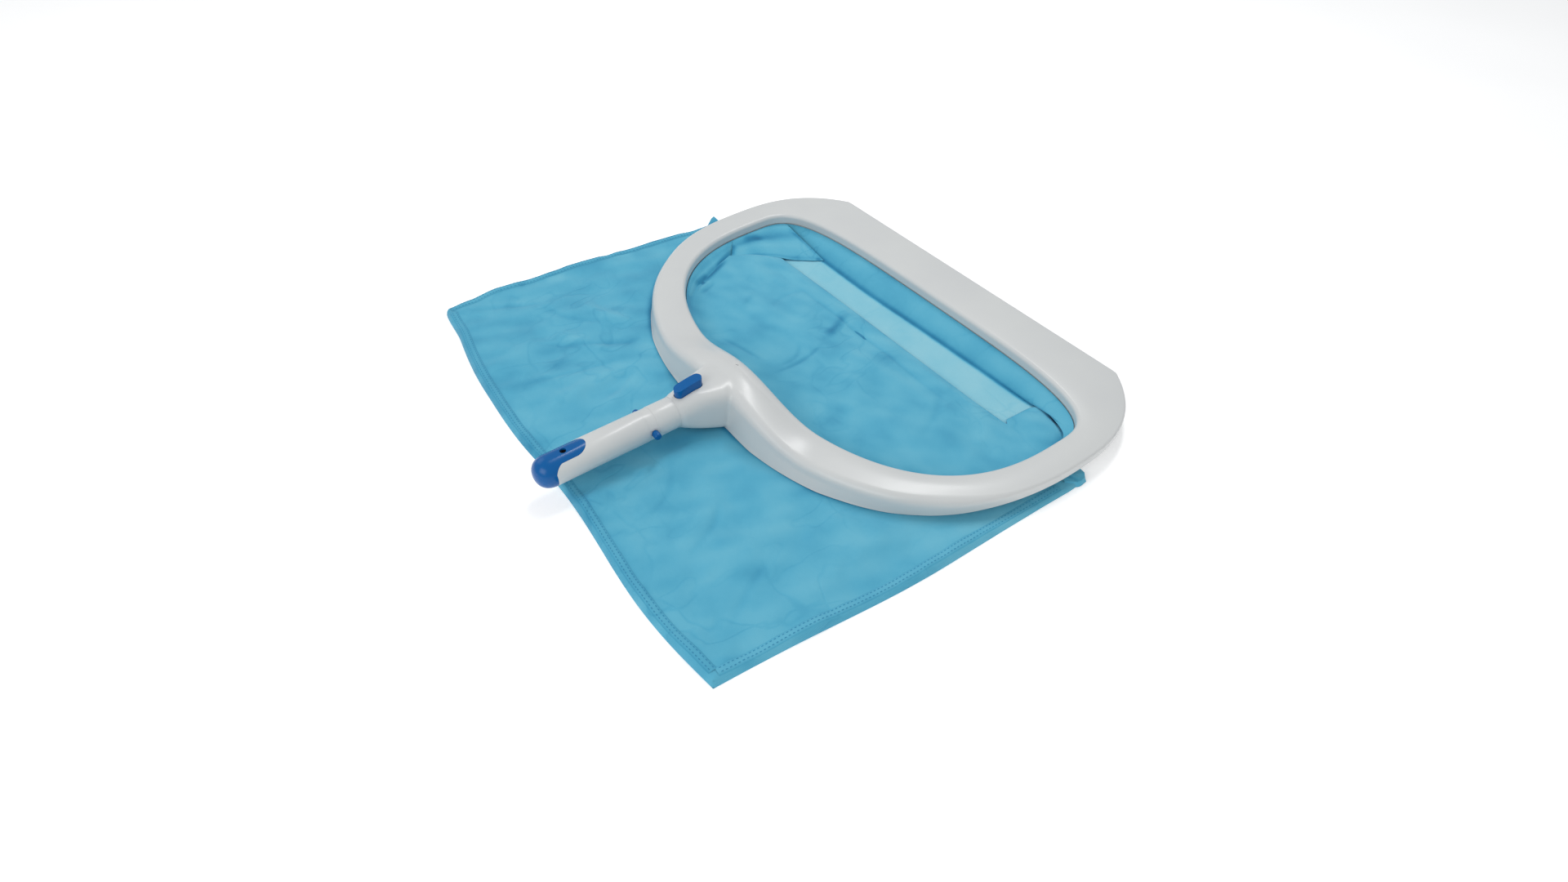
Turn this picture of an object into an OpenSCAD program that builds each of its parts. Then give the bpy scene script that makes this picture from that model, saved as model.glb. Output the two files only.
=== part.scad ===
// Leaf skimmer net for a swimming pool: a white moulded D-frame with a flat front lip,
// a short handle that plugs into a telescopic pole, and a fine mesh bag clamped under it.
// X runs across the frame, +Y points at the front lip, +Z is up, sizes are millimetres.
// The origin lies on the handle's axis, halfway along the plain shank that a pole covers.

/* [Mouth] */
// Half width of the mouth, across the frame
mouth_half_w = 218.5; // [180:0.5:230]
// Distance from the origin forward to the mouth's centre line
mouth_y = 298; // [290:0.5:310]
// Reach of the mouth in front of its centre line
mouth_front = 63.5; // [50:0.5:75]
// Reach of the mouth behind its centre line
mouth_back = 160.5; // [150:0.5:165]

/* [Frame] */
// Half width of the frame over both arms
frame_half_w = 248.5; // [240:0.5:260]
// Reach of the frame behind the mouth's centre line
frame_back = 200; // [195:0.5:205]
// Distance from the origin forward to the straight edge of the lip
lip_y = 413; // [395:1:420]
// Height of the frame, from its foot to the mouth's rim
frame_h = 19.5; // [16:0.5:24]
// Outward lean of the arms' outer wall at its foot
foot_flare = 1.5; // [0:0.1:2.5]
// Thickness of the lip at its front edge
lip_t = 5; // [4:0.5:8]
// Wall thickness of the moulding
wall = 2.6; // [2:0.1:3.4]
// Height of the hub's dome above the mouth's rim
dome_h = 24; // [18:0.5:26]
// Number of stiffening ribs under the lip
lip_ribs = 9; // [3:2:15]

/* [Handle] */
// Outside diameter of the handle, for a pole of 32 mm outside diameter
shank_d = 28.4; // [26:0.1:30]
// Bore of the handle
shank_bore = 24.8; // [22:0.1:26]
// Height of the handle's axis above the mouth's rim
axis_h = 6.5; // [4:0.5:10]
// Distance from the origin back to the tube's open end
tube_back = 60; // [45:1:65]
// Length of the blue dome that closes the handle
cap_dome = 15; // [14:0.1:24]
// Distance from the origin back to the tip of the cap's tongue
tongue_y = 27; // [26:0.5:34]

/* [Snap lock] */
// Distance from the origin forward to the snap pins
pin_y = 30; // [28:0.5:34]
// Diameter of a snap pin
pin_d = 6.4; // [5.6:0.1:7]
// Reach of a snap pin's tip from the handle's axis
pin_reach = 20; // [18:0.1:21]
// Inward travel of a snap pin
pin_travel = 6; // [5.8:0.1:6]
// Length of the thumb button
button_l = 27; // [24:0.1:28]
// Width of the thumb button
button_w = 9.8; // [9:0.1:12]
// Downward travel of the thumb button
button_travel = 4; // [3.6:0.1:4]

/* [Bag] */
// Thickness of a folded panel of mesh, as it lies
cloth_t = 1.3; // [1:0.1:1.4]
// Width of the sewn seam along the bag's edges
seam_w = 5; // [3:0.5:8]
// Diameter of the cord sewn into the bag's mouth
bead_d = 3; // [2:0.1:3.2]
// Number of screws in the ring that clamps the bag
clamp_screw_n = 12; // [8:2:16]

/* [Hidden] */
$fn = 48;
white = "#dfe1e1";
blue = "#1c66b8";
mesh_blue = "#5cb0cc";
seam_blue = "#3f9bbd";
steel = "#b9bdc0";

shank_r = shank_d / 2;
bore_r = shank_bore / 2;
rim_z = -axis_h;
foot_z = rim_z - frame_h;
inner_foot_z = rim_z - 10;
ground_z = foot_z - 3.5;
lip_bend_y = 385;
arm_full_y = 200;
dome_half_w = 95;
hole_play = 0.2;
sink = 0.1;
beyond = 20;

// ---------- outlines in plan ----------

// Distance from the mouth's centre to a superellipse with other reaches in front and behind
function reach(a, w, front, back, nf, nb) =
    let (s = sin(a), n = s >= 0 ? nf : nb)
    pow(pow(abs(cos(a)) / w, n) + pow(abs(s) / (s >= 0 ? front : back), n), -1 / n);

// The angle about the mouth's centre at t degrees round the outlines, which gathers points at the corners
function angle_at(t) = atan2((sin(t) > 0 ? 0.35 : 0.75) * sin(t), cos(t));
// A point of the mouth's rim, and of the frame's outside, at t degrees round.
// The front of the outside would reach outside_front, but the straight lip cuts it off.
outside_front = 150;
mouth_at = function (t)
    let (a = angle_at(t))
    reach(a, mouth_half_w, mouth_front, mouth_back, 3.75, 2.58) * [cos(a), sin(a)] + [0, mouth_y];
outside_at = function (t)
    let (a = angle_at(t), r = reach(a, frame_half_w, outside_front, frame_back, 2.6, 2.4), s = sin(a))
    (s > 0 ? min(r, (lip_y - mouth_y) / s) : r) * [cos(a), sin(a)] + [0, mouth_y];

// The outward normal of an outline at t degrees round, and the outline moved out by d
function normal_at(f, t) = let (d = f(t + 0.4) - f(t - 0.4)) [d.y, -d.x] / norm(d);
function moved(f, t, d) = f(t) + d * normal_at(f, t);
function outline(f, d, n) = [for (i = [0:n - 1]) moved(f, 360 * i / n, d)];

function lift(p, z) = [p.x, p.y, z];
function smooth(x) = let (t = max(0, min(1, x))) t * t * (3 - 2 * t);
function mix(a, b, t) = a + (b - a) * t;

// ---------- meshes from rings of points ----------

// Triangles between rings i and j of point_n points, and rings joined into a loop or a capped bar
function quads(i, j, point_n) =
    let (a = i * point_n, b = j * point_n)
    [
        for (k = [0:point_n - 1])
            let (m = (k + 1) % point_n)
            each [[a + k, a + m, b + m], [a + k, b + m, b + k]]
    ];
module closed_loop(rings) {
    n = len(rings);
    m = len(rings[0]);
    polyhedron([for (r = rings) each r], [for (i = [0:n - 1]) each quads(i, (i + 1) % n, m)]);
}
module capped(rings) {
    n = len(rings);
    m = len(rings[0]);
    sides = [for (i = [0:n - 2]) each quads(i, i + 1, m)];
    ends = [[for (k = [0:m - 1]) m - 1 - k], [for (k = [0:m - 1]) (n - 1) * m + k]];
    polyhedron([for (r = rings) each r], concat(sides, ends));
}

// A round wire of radius r along a path of points
function wire_ring(path, i, r, sides, closed) =
    let (
        n = len(path),
        before = path[closed ? (i + n - 1) % n : max(i - 1, 0)],
        after = path[closed ? (i + 1) % n : min(i + 1, n - 1)],
        t = (after - before) / norm(after - before),
        u0 = cross(t, abs(t.z) > 0.7 ? [1, 0, 0] : [0, 0, 1]),
        u = u0 / norm(u0),
        v = cross(u, t)
    )
    [for (k = [0:sides - 1]) path[i] + r * (cos(360 * k / sides) * u + sin(360 * k / sides) * v)];
module wire(path, r, sides) {
    capped([for (i = [0:len(path) - 1]) wire_ring(path, i, r, sides, false)]);
}
module wire_loop(path, r, sides) {
    closed_loop([for (i = [0:len(path) - 1]) wire_ring(path, i, r, sides, true)]);
}

// A compression spring along +Z from the origin, with flat end turns
module coil_spring(r, wire_r, length, turns) {
    steps = 12;
    n = turns * steps;
    rise = length - 2 * wire_r;
    path = [
        for (i = [0:n])
            let (t = i / n, a = 360 * turns * t)
            [r * cos(a), r * sin(a), wire_r + rise * smooth(mix(0.06, 0.94, t))]
    ];
    wire(path, wire_r, 6);
}

// A cylinder along +Y from y0 to y1, centred on the handle's axis
module along_y(r, y0, y1) {
    translate([0, y0, 0]) rotate([-90, 0, 0]) cylinder(r = r, h = y1 - y0);
}

// An oblong of the given length along Y and width along X
module oblong(length, width) {
    square([width, length - width], center = true);
    for (s = [-1, 1]) translate([0, s * (length - width) / 2]) circle(d = width);
}

// ---------- frame ----------

// 1 on the arms, falling to 0 along the lip
function arm(y) = smooth((lip_bend_y - y) / (lip_bend_y - arm_full_y));
// 1 over the handle, falling to 0 along both arms
function hub(p) = p.y < mouth_y && abs(p.x) < dome_half_w ? pow(cos(90 * p.x / dome_half_w), 2) : 0;

// The moulding's section: over the top from the mouth's wall to the outer wall, and back inside
function frame_section(t) =
    let (
        pi = mouth_at(t),
        po = outside_at(t),
        ni = normal_at(mouth_at, t),
        no = -normal_at(outside_at, t),
        f = arm(po.y),
        h = hub(pi),
        top = rim_z + dome_h * h,
        r_in = 4 + 10 * h,
        r_out = mix(2.2, 9, f) + 3 * h,
        low = rim_z - mix(lip_t, frame_h, f),
        flare = foot_flare * f,
        roof = top - wall,
        bend = 0.29
    )
    [
        lift(pi, inner_foot_z),
        lift(pi, top - r_in),
        lift(pi + ni * r_in * bend, top - r_in * bend),
        lift(pi + ni * r_in, top),
        lift(mix(pi + ni * r_in, po + no * r_out, 0.5), top + 0.8),
        lift(po + no * r_out, top),
        lift(po + no * r_out * bend, top - r_out * bend),
        lift(po, top - r_out),
        lift(po - no * flare * 0.4, mix(top - r_out, low, 0.6)),
        lift(po - no * flare, low),
        lift(po + no * (wall - flare), low),
        lift(po + no * wall * 1.1, min(top - r_out, roof - 0.4)),
        lift(po + no * (r_out * 0.7 + wall), roof),
        lift(pi + ni * (r_in * 0.7 + wall), roof),
        lift(pi + ni * wall, top - r_in - 0.8),
        lift(pi + ni * wall, inner_foot_z)
    ];

frame_stations = 120;
module ring_shell() {
    closed_loop([for (i = [0:frame_stations - 1]) frame_section(-360 * i / frame_stations)]);
}

// The hub's saddle, a loft from the collar round the handle to the top of the ring
yoke_y0 = 56;
yoke_y1 = 98.6;
yoke_end = 119;
yoke_wide = 25.3;
yoke_high = 17.9;
collar_r = shank_r + 1.2;
function yoke_share(y) = (min(y, yoke_y1) - yoke_y0) / (yoke_y1 - yoke_y0);
function yoke_half_w(y) = mix(collar_r, yoke_wide, pow(yoke_share(y), 1.5));
function yoke_top(y) = mix(collar_r, yoke_high, smooth((y - yoke_y0) / 24));
function yoke_low(y) = mix(-collar_r, foot_z + 0.4, pow(yoke_share(y), 1.2));
function yoke_section(y) =
    let (
        past = max(0, (y - yoke_y1) / (yoke_end - yoke_y1)),
        close = sqrt(max(0.02, 1 - pow(past, 2.5))),
        w = yoke_half_w(y) * mix(0.62, 1, close),
        top = mix(yoke_top(y) - 4, yoke_top(y), close),
        low = yoke_low(y),
        mid = (top + low) / 2,
        h = (top - low) / 2,
        n_top = mix(2, 3.4, smooth((y - yoke_y0) / 36)),
        n_low = mix(2, 8, smooth((y - yoke_y0) / 30)),
        sides = 32
    )
    [
        for (k = [0:sides - 1])
            let (
                a = 360 * k / sides,
                n = a > 180 ? n_low : n_top,
                r = pow(pow(abs(cos(a)), n) + pow(abs(sin(a)), n), -1 / n)
            )
            [w * r * cos(a), y, mid + h * r * sin(a)]
    ];
module yoke_shell() {
    steps = [yoke_y0, 60, 65, 71, 78, 85, 92, yoke_y1, 104, 109, 113, 116, yoke_end];
    capped([for (y = steps) yoke_section(y)]);
}

// A stiffener under the lip, deep at the mouth's wall and shallow at the edge
rib_pitch = 44;
rib_t = 1.8;
module lip_rib() {
    y0 = mouth_y + mouth_front + 1;
    rotate([90, 0, 90])
        translate([0, 0, -rib_t / 2])
            linear_extrude(rib_t)
                polygon([
                    [y0, inner_foot_z + 0.2],
                    [y0, rim_z - wall + 0.8],
                    [lip_y - 1.5, rim_z - wall + 0.6],
                    [lip_y - 1.5, rim_z - lip_t + 0.2]
                ]);
}

boss_d = 8.4;
pilot_d = 3.1;
pilot_depth = 6.6;
clamp_screw_off = 11.5;
function clamp_screw_turn(i) = 360 * (i + 0.5) / clamp_screw_n;
module at_clamp_screws() {
    for (i = [0:clamp_screw_n - 1])
        translate(moved(mouth_at, clamp_screw_turn(i), clamp_screw_off))
            children();
}

module frame() {
    color(white)
        difference() {
            union() {
                ring_shell();
                yoke_shell();
                for (i = [0:clamp_screw_n - 1])
                    let (
                        t = clamp_screw_turn(i),
                        p = moved(mouth_at, t, clamp_screw_off),
                        roof = rim_z + dome_h * hub(mouth_at(t)) - wall
                    )
                    translate([p.x, p.y, inner_foot_z]) cylinder(d = boss_d, h = roof + 1 - inner_foot_z);
                for (i = [0:lip_ribs - 1])
                    translate([(i - (lip_ribs - 1) / 2) * rib_pitch, 0, 0])
                        lip_rib();
            }
            at_clamp_screws()
                translate([0, 0, inner_foot_z - 1])
                    cylinder(d = pilot_d, h = pilot_depth + 1);
            socket_cuts();
        }
}

// What is cut from the hub: the tube's socket, the lock's chamber, the button's slot, the cover's seat
button_y = 73.2;
button_low = 15;
button_top = 24.9;
spring_y = 83.5;
spring_seat_z = 2;
socket_end = 76.4;
chamber = [13, 20.3, 29];
cover_size = [24, 15.5, 2];
cover_y = 87.75;
cover_z = -18.2;
cover_screw_x = 9.4;
tube_screw_y = 68;
tube_screw_z = -17.6;
small_screw_d = 2.4;
button_play = 0.35;
module socket_cuts() {
    seat = [cover_size.x + 2 * hole_play, cover_size.y + 2 * hole_play, beyond + cover_size.z];
    along_y(shank_r + 0.05, yoke_y0 - 2, socket_end);
    translate([-chamber.x / 2, socket_end - 1, cover_z + cover_size.z]) cube(chamber);
    translate([0, button_y, button_low - 7])
        linear_extrude(14)
            oblong(button_l + 2 * button_play, button_w + 2 * button_play);
    translate([-seat.x / 2, cover_y - seat.y / 2, cover_z - beyond]) cube(seat);
    at_cover_screws() translate([0, 0, cover_z]) cylinder(d = small_screw_d + hole_play, h = 10);
    translate([0, tube_screw_y, foot_z - 4]) cylinder(d = 5.2, h = tube_screw_z + 1.2 - foot_z + 4);
    translate([0, tube_screw_y, foot_z - 4]) cylinder(d = small_screw_d + 2 * hole_play, h = 20);
}
module at_cover_screws() {
    for (s = [-1, 1]) translate([s * cover_screw_x, cover_y, 0]) children();
}

// A screw driven upward from z, with a cross recess in its head
recess_w = 0.8;
recess_h = 0.7;
module screw_up(z, head_d, head_h, shaft_d, length) {
    translate([0, 0, z])
        difference() {
            cylinder(d = head_d, h = head_h);
            for (a = [0, 90]) rotate(a) cube([head_d * 0.6, recess_w, 2 * recess_h], center = true);
        }
    translate([0, 0, z + head_h - sink]) cylinder(d = shaft_d, h = length + sink);
}

// ---------- handle ----------

tongue_half_w = 9.2;
tongue_tip = 12;
tongue_flare = 5;
tongue_root = 9.5;
tongue_low_z = 2;
// The tongue's outline from above: oval at its tip, flaring into the dome at its root
module tongue_outline(grow) {
    r = tongue_half_w + grow;
    tip = -tongue_y - tongue_tip;
    end = -tube_back - 1;
    side = [
        for (u = [1:-0.1:0.05]) [r + tongue_flare * pow(u, 1.6), mix(end + tongue_root, end, u)],
        for (a = [0:7.5:90]) [r * cos(a), tip + (tongue_tip + grow) * sin(a)]
    ];
    polygon(concat(side, [for (i = [len(side) - 2:-1:0]) [-side[i].x, side[i].y]]));
}

// The tube, with a shallow relief round the snap pins that keeps the edges of their holes off the pole
relief_half = 4.5;
relief_depth = 0.3;
window_low = 10.4;
module handle_tube() {
    window = [button_w + 1.2, socket_end, beyond];
    window_y = button_y - button_l / 2 - 1.1;
    color(white)
        difference() {
            union() {
                along_y(shank_r, -tube_back, pin_y - relief_half);
                along_y(shank_r - relief_depth, pin_y - relief_half - 1, pin_y + relief_half + 1);
                along_y(shank_r, pin_y + relief_half, socket_end - 0.4);
            }
            along_y(bore_r, -tube_back - 1, socket_end + 1);
            translate([-beyond, pin_y, 0])
                rotate([0, 90, 0])
                    cylinder(d = pin_d + hole_play, h = 2 * beyond);
            translate([0, 0, tongue_low_z]) linear_extrude(beyond) tongue_outline(hole_play / 2);
            translate([-window.x / 2, window_y, window_low]) cube(window);
            translate([0, tube_screw_y, -beyond]) cylinder(d = small_screw_d + hole_play, h = 10);
        }
}

module tube_screw() {
    color(steel) translate([0, tube_screw_y, 0]) screw_up(tube_screw_z, 4.8, 1.2, small_screw_d, 4.2);
}

// The cap: a full dome, a plug inside the tube and a tongue along its top with a sunk screw
cap_screw_y = -46.6;
cap_head_d = 5.2;
cap_seat_z = 10.6;
plug_end_y = -37;
dome_power = 0.87;
module end_cap() {
    color(blue)
        difference() {
            union() {
                translate([0, -tube_back, 0])
                    rotate([90, 0, 0])
                        rotate_extrude()
                            polygon([
                                [0, 0],
                                for (t = [0:5:90])
                                    let (c = pow(cos(t), dome_power), s = pow(sin(t), dome_power))
                                    [shank_r * c, cap_dome * s]
                            ]);
                along_y(bore_r - sink, -tube_back - 0.5, plug_end_y);
                intersection() {
                    difference() {
                        along_y(shank_r, -tube_back - sink, -tongue_y);
                        along_y(bore_r - 2 * sink, -tube_back - 2, 0);
                    }
                    translate([0, 0, tongue_low_z]) linear_extrude(beyond) tongue_outline(0);
                }
            }
            translate([0, cap_screw_y, 3]) cylinder(d = pilot_d, h = beyond);
            translate([0, cap_screw_y, cap_seat_z]) cylinder(d = cap_head_d + 2 * hole_play, h = 10);
        }
}

module end_cap_screw() {
    color("#222222")
        translate([0, cap_screw_y, 0])
            mirror([0, 0, 1])
                screw_up(-cap_seat_z - 1.9, cap_head_d, 1.8, 3, 6.7);
}

// ---------- snap lock ----------

ramp_top_y = 64;
ramp_top_z = 10.6;
plate_z = 3.7;
plate_t = 2.6;
plate_y = [41.5, 50];
stem_w = 6;
lug_x = 10.3;
lug_w = 4;
lug_root = 3;
wedge_gap = 0.35;

// The line of the ramp that turns the button's travel into the slider's
function ramp_z(y) = ramp_top_z - (y - ramp_top_y) * button_travel / pin_travel;
ramp_low_y = ramp_top_y + (ramp_top_z - plate_z - plate_t) * pin_travel / button_travel;

// The height of the button's crowned top, which leans back, at a distance d in front of its middle
crown_r = 140;
crown_lean = 8.5;
function crown_z(d) = button_top + d * tan(crown_lean) - d * d / (2 * crown_r);

// The button: an oblong, a stem with the ramp, and a post inside its spring
module release_button() {
    stem_y0 = 61;
    stem_y1 = 76;
    gap = 0.36;
    post_d = 3.4;
    post_h = 5.5;
    color(blue) {
        intersection() {
            translate([0, button_y, button_low]) linear_extrude(beyond) oblong(button_l, button_w);
            rotate([90, 0, 90])
                translate([button_y, 0, -button_w])
                    linear_extrude(2 * button_w)
                        polygon([
                            [button_l, button_low],
                            [-button_l, button_low],
                            for (t = [-0.6:0.1:0.65]) [t * button_l, crown_z(t * button_l)]
                        ]);
        }
        rotate([90, 0, 90])
            translate([0, 0, -stem_w / 2])
                linear_extrude(stem_w)
                    polygon([
                        [stem_y0, ramp_z(stem_y0) + gap],
                        [stem_y1, ramp_z(stem_y1) + gap],
                        [stem_y1, button_low + sink],
                        [stem_y0, button_low + sink]
                    ]);
        translate([0, spring_y, button_low - post_h]) cylinder(d = post_d, h = post_h + sink);
    }
}

module button_spring() {
    color(steel)
        translate([0, spring_y, spring_seat_z + 0.05])
            coil_spring(2.5, 0.4, button_low - spring_seat_z - 0.1, 5);
}

module cam_slider() {
    prong_y = pin_y - lug_w / 2;
    reach_x = prong_y + lug_x + wedge_gap * sqrt(2);
    prong_in = 4.4;
    color(blue) {
        translate([0, 0, plate_z])
            linear_extrude(plate_t) {
                for (s = [-1, 1])
                    mirror([s < 0 ? 1 : 0, 0])
                        polygon([
                            [lug_x, reach_x - lug_x],
                            [lug_x, plate_y[1]],
                            [prong_in, plate_y[1]],
                            [prong_in, reach_x - prong_in]
                        ]);
                translate([-lug_x, plate_y[0]]) square([2 * lug_x, plate_y[1] - plate_y[0]]);
                translate([-stem_w / 2 - hole_play, plate_y[1] - 1])
                    square([stem_w + 2 * hole_play, ramp_low_y - plate_y[1] + 1]);
            }
        rotate([90, 0, 90])
            translate([0, 0, -stem_w / 2])
                linear_extrude(stem_w)
                    polygon([
                        [ramp_top_y, plate_z + sink],
                        [ramp_low_y, plate_z + sink],
                        [ramp_low_y, plate_z + plate_t],
                        [ramp_top_y, ramp_top_z]
                    ]);
    }
}

// The block in the tube's bore that the pins slide through, slotted for their lugs
guide_half = 11;
guide_gap = 0.3;
module lock_guide() {
    slot_y = lug_root + lug_w / 2 + 2 * guide_gap;
    color(blue)
        difference() {
            along_y(bore_r - sink, pin_y - guide_half, pin_y + guide_half);
            translate([-beyond, pin_y - beyond, plate_z - guide_gap]) cube(2 * beyond);
            translate([-beyond, pin_y, 0]) rotate([0, 90, 0]) cylinder(d = pin_d + 0.1, h = 2 * beyond);
            translate([-beyond, pin_y - lug_root - guide_gap, 0]) cube([2 * beyond, slot_y, 10]);
        }
}

// The lug's wedge from x0 outward, with its 45 degree face toward the slider, standing on the pin at z0
module lug_block(x0, z0) {
    translate([0, 0, z0])
        linear_extrude(plate_z + plate_t - sink - z0)
            polygon([
                [x0, lug_x - lug_w / 2 - x0],
                [x0, -lug_root],
                [lug_x, -lug_root],
                [lug_x, -lug_w / 2]
            ]);
}

// A snap pin: a nose, a neck where it crosses the tube's wall, a spring seat
// and the lug that the slider drives
pin_back = 8.6;
pin_spring_r = 2.3;
pin_spring_wire = 0.35;
lug_low_z = pin_spring_r + pin_spring_wire + 0.5;
pin_neck = [11.8, 14.4];
neck_depth = 0.2;
module snap_pin(s) {
    nose = 1.2;
    r = pin_d / 2;
    color(blue)
        mirror([s < 0 ? 1 : 0, 0, 0])
            translate([0, pin_y, 0]) {
                rotate([0, 90, 0])
                    rotate_extrude()
                        polygon([
                            [0, pin_back],
                            [r, pin_back],
                            [r, pin_neck[0]],
                            [r - neck_depth, pin_neck[0]],
                            [r - neck_depth, pin_neck[1]],
                            [r, pin_neck[1]],
                            [r, pin_reach - nose],
                            [r - nose * 0.3, pin_reach - nose * 0.3],
                            [r - nose, pin_reach],
                            [0, pin_reach]
                        ]);
                lug_block(lug_x - lug_w, lug_low_z);
                lug_block(pin_back, pin_d / 2 - 2.2);
            }
}

module pin_spring() {
    seat_gap = 0.1;
    color(steel)
        translate([-pin_back + seat_gap, pin_y, 0])
            rotate([0, 90, 0])
                coil_spring(pin_spring_r, pin_spring_wire, 2 * (pin_back - seat_gap), 7);
}

// The plate under the hub, with the column that the button's spring stands on
column_d = 6.2;
module hub_cover() {
    color(white)
        difference() {
            union() {
                translate([-cover_size.x / 2, cover_y - cover_size.y / 2, cover_z])
                    cube(cover_size - [0, 0, sink]);
                translate([0, spring_y, cover_z + 1])
                    cylinder(d = column_d, h = spring_seat_z - cover_z - 1);
            }
            at_cover_screws()
                translate([0, 0, cover_z - 1])
                    cylinder(d = small_screw_d + 3 * hole_play, h = 4);
        }
}

module hub_cover_screws() {
    color(steel) at_cover_screws() screw_up(cover_z - 1.7, 5, 1.6, small_screw_d, 7.9);
}

// ---------- ring that clamps the bag ----------

clamp_top = inner_foot_z - 0.4;
clamp_low = foot_z;
clamp_in = 0.6;
clamp_out = 17;
bead_off = 4.2;
loop_n = 96;
module band(f, d0, d1, z0, z1) {
    translate([0, 0, z0])
        linear_extrude(z1 - z0)
            difference() {
                polygon(outline(f, d1, loop_n));
                polygon(outline(f, d0, loop_n));
            }
}

// The ring is hollow below: shallow under the cord's groove, deeper outside it, with a post at each screw
clamp_wall = 2.2;
groove_half = bead_d / 2 + hole_play;
groove_low = clamp_top - bead_d - hole_play;
clamp_head_d = 6;
clamp_head_z = clamp_low + 0.4;
clamp_head_h = 1.7;
module clamp_ring() {
    sink_d = clamp_head_d + 3 * hole_play;
    low = clamp_low - 1;
    color(white)
        difference() {
            band(mouth_at, clamp_in, clamp_out, clamp_low, clamp_top);
            band(mouth_at, bead_off - groove_half, bead_off + groove_half, groove_low, clamp_top + 1);
            difference() {
                union() {
                    band(mouth_at, clamp_in + clamp_wall, clamp_out - clamp_wall, low,
                        groove_low - clamp_wall);
                    band(mouth_at, bead_off + groove_half + clamp_wall, clamp_out - clamp_wall, low,
                        clamp_top - clamp_wall);
                }
                at_clamp_screws() cylinder(d = sink_d + clamp_wall * 1.6, h = 100, center = true);
            }
            at_clamp_screws() translate([0, 0, low]) {
                cylinder(d = pilot_d + 0.5, h = beyond);
                cylinder(d = sink_d, h = clamp_head_z + clamp_head_h + sink - low);
            }
        }
}

module clamp_screws() {
    color(steel) at_clamp_screws() screw_up(clamp_head_z, clamp_head_d, clamp_head_h, 3, 12.9);
}

// ---------- bag ----------

module bag_bead_cord() {
    z = clamp_top - bead_d / 2 - 0.1;
    path = [for (i = [0:loop_n - 1]) lift(moved(mouth_at, 360 * i / loop_n, bead_off), z)];
    color(seam_blue) wire_loop(path, bead_d / 2, 6);
}

// The band that hangs the bag in the mouth: its hem goes over the clamp ring to the cord,
// its sides reach the upper panel, and its front reaches the lower one
lower_z = ground_z;
upper_z = ground_z + cloth_t + 0.3;
cloth_top = upper_z + cloth_t;
band_in = -1;
band_out = 0.3;
module bag_mouth_band() {
    hem_z = [clamp_top + 0.05, inner_foot_z - 0.05];
    color(mesh_blue) {
        band(mouth_at, band_in, band_out, cloth_top, hem_z[0]);
        intersection() {
            band(mouth_at, band_in, band_out, lower_z + cloth_t, cloth_top + sink);
            translate([-frame_half_w, bag_corners[2].y + 1, ground_z])
                cube([2 * frame_half_w, lip_y, beyond]);
        }
        band(mouth_at, band_in, bead_off - bead_d / 2 - 0.3, hem_z[0], hem_z[1]);
    }
}

// Corners of the bag as it lies on the ground: rear left, rear right, front right, front left
bag_corners = [[-293, -34], [230, -58], [252, 302], [-284, 285]];
// The slow waves of each loose side: heights of 1, 2, 3 and 4 half waves, inward positive
bag_waves = [[-14, -3.9, -5, 1.5], [-4.8, -0.2, 1.3, 0], [0, 0, 0, 0], [-6.5, 5.8, -1.9, 0]];
// A point on a side of the bag, at t from 0 to 1
function bag_side(i, t) =
    let (
        a = bag_corners[i],
        d = bag_corners[(i + 1) % 4] - a,
        n = [-d.y, d.x] / norm(d),
        w = bag_waves[i]
    )
    a + d * t + n * (w * [for (k = [1:4]) sin(180 * k * t)]);
function bag_edge(steps) = [for (i = [0:3], k = [0:steps - 1]) bag_side(i, k / steps)];

module bag_upper_panel() {
    color(mesh_blue) translate([0, 0, upper_z]) linear_extrude(cloth_t) polygon(bag_edge(12));
}

// The lower panel reaches forward past the fold, under the mouth
module bag_lower_panel() {
    front = [for (i = [0:24]) moved(mouth_at, mix(6, 174, i / 24), 6)];
    color(mesh_blue)
        translate([0, 0, lower_z])
            linear_extrude(cloth_t)
                polygon(concat([for (i = [0:1], k = [0:11]) bag_side(i, k / 12)], [bag_corners[2]], front,
                    [bag_corners[3]], [for (k = [1:11]) bag_side(3, k / 12)]));
}

// A seam ribbon sewn on the upper panel, a little inside one side of the bag
seam_t = 0.5;
seam_inset = 2;
module seam_ribbon(i) {
    a = bag_corners[i];
    d = bag_corners[(i + 1) % 4] - a;
    n = [-d.y, d.x] / norm(d);
    pts = [for (k = [0:24]) bag_side(i, 0.02 + 0.96 * k / 24)];
    inner = [for (k = [24:-1:0]) pts[k] + n * (seam_inset + seam_w)];
    translate([0, 0, cloth_top + 0.02])
        linear_extrude(seam_t)
            polygon(concat([for (p = pts) p + n * seam_inset], inner));
}
module bag_side_seams() {
    color(seam_blue) {
        seam_ribbon(1);
        seam_ribbon(3);
    }
}
module bag_end_seam() {
    color(seam_blue)
        difference() {
            seam_ribbon(0);
            for (c = [0, 1]) translate(bag_corners[c]) cylinder(r = 14, h = 100, center = true);
        }
}

frame();
handle_tube();
tube_screw();
end_cap();
end_cap_screw();
release_button();
button_spring();
cam_slider();
lock_guide();
snap_pin(-1);  // snap_pin_left
snap_pin(1);  // snap_pin_right
pin_spring();
hub_cover();
hub_cover_screws();
clamp_ring();
clamp_screws();
bag_bead_cord();
bag_mouth_band();
bag_upper_panel();
bag_lower_panel();
bag_side_seams();
bag_end_seam();
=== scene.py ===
"""Looks of the leaf skimmer net: a white moulded D-frame, a blue snap lock and a fine mesh bag laid flat.

Lengths in this script are millimetres in the part's own frame, and mesh_object() turns them into metres.
"""

import math

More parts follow.
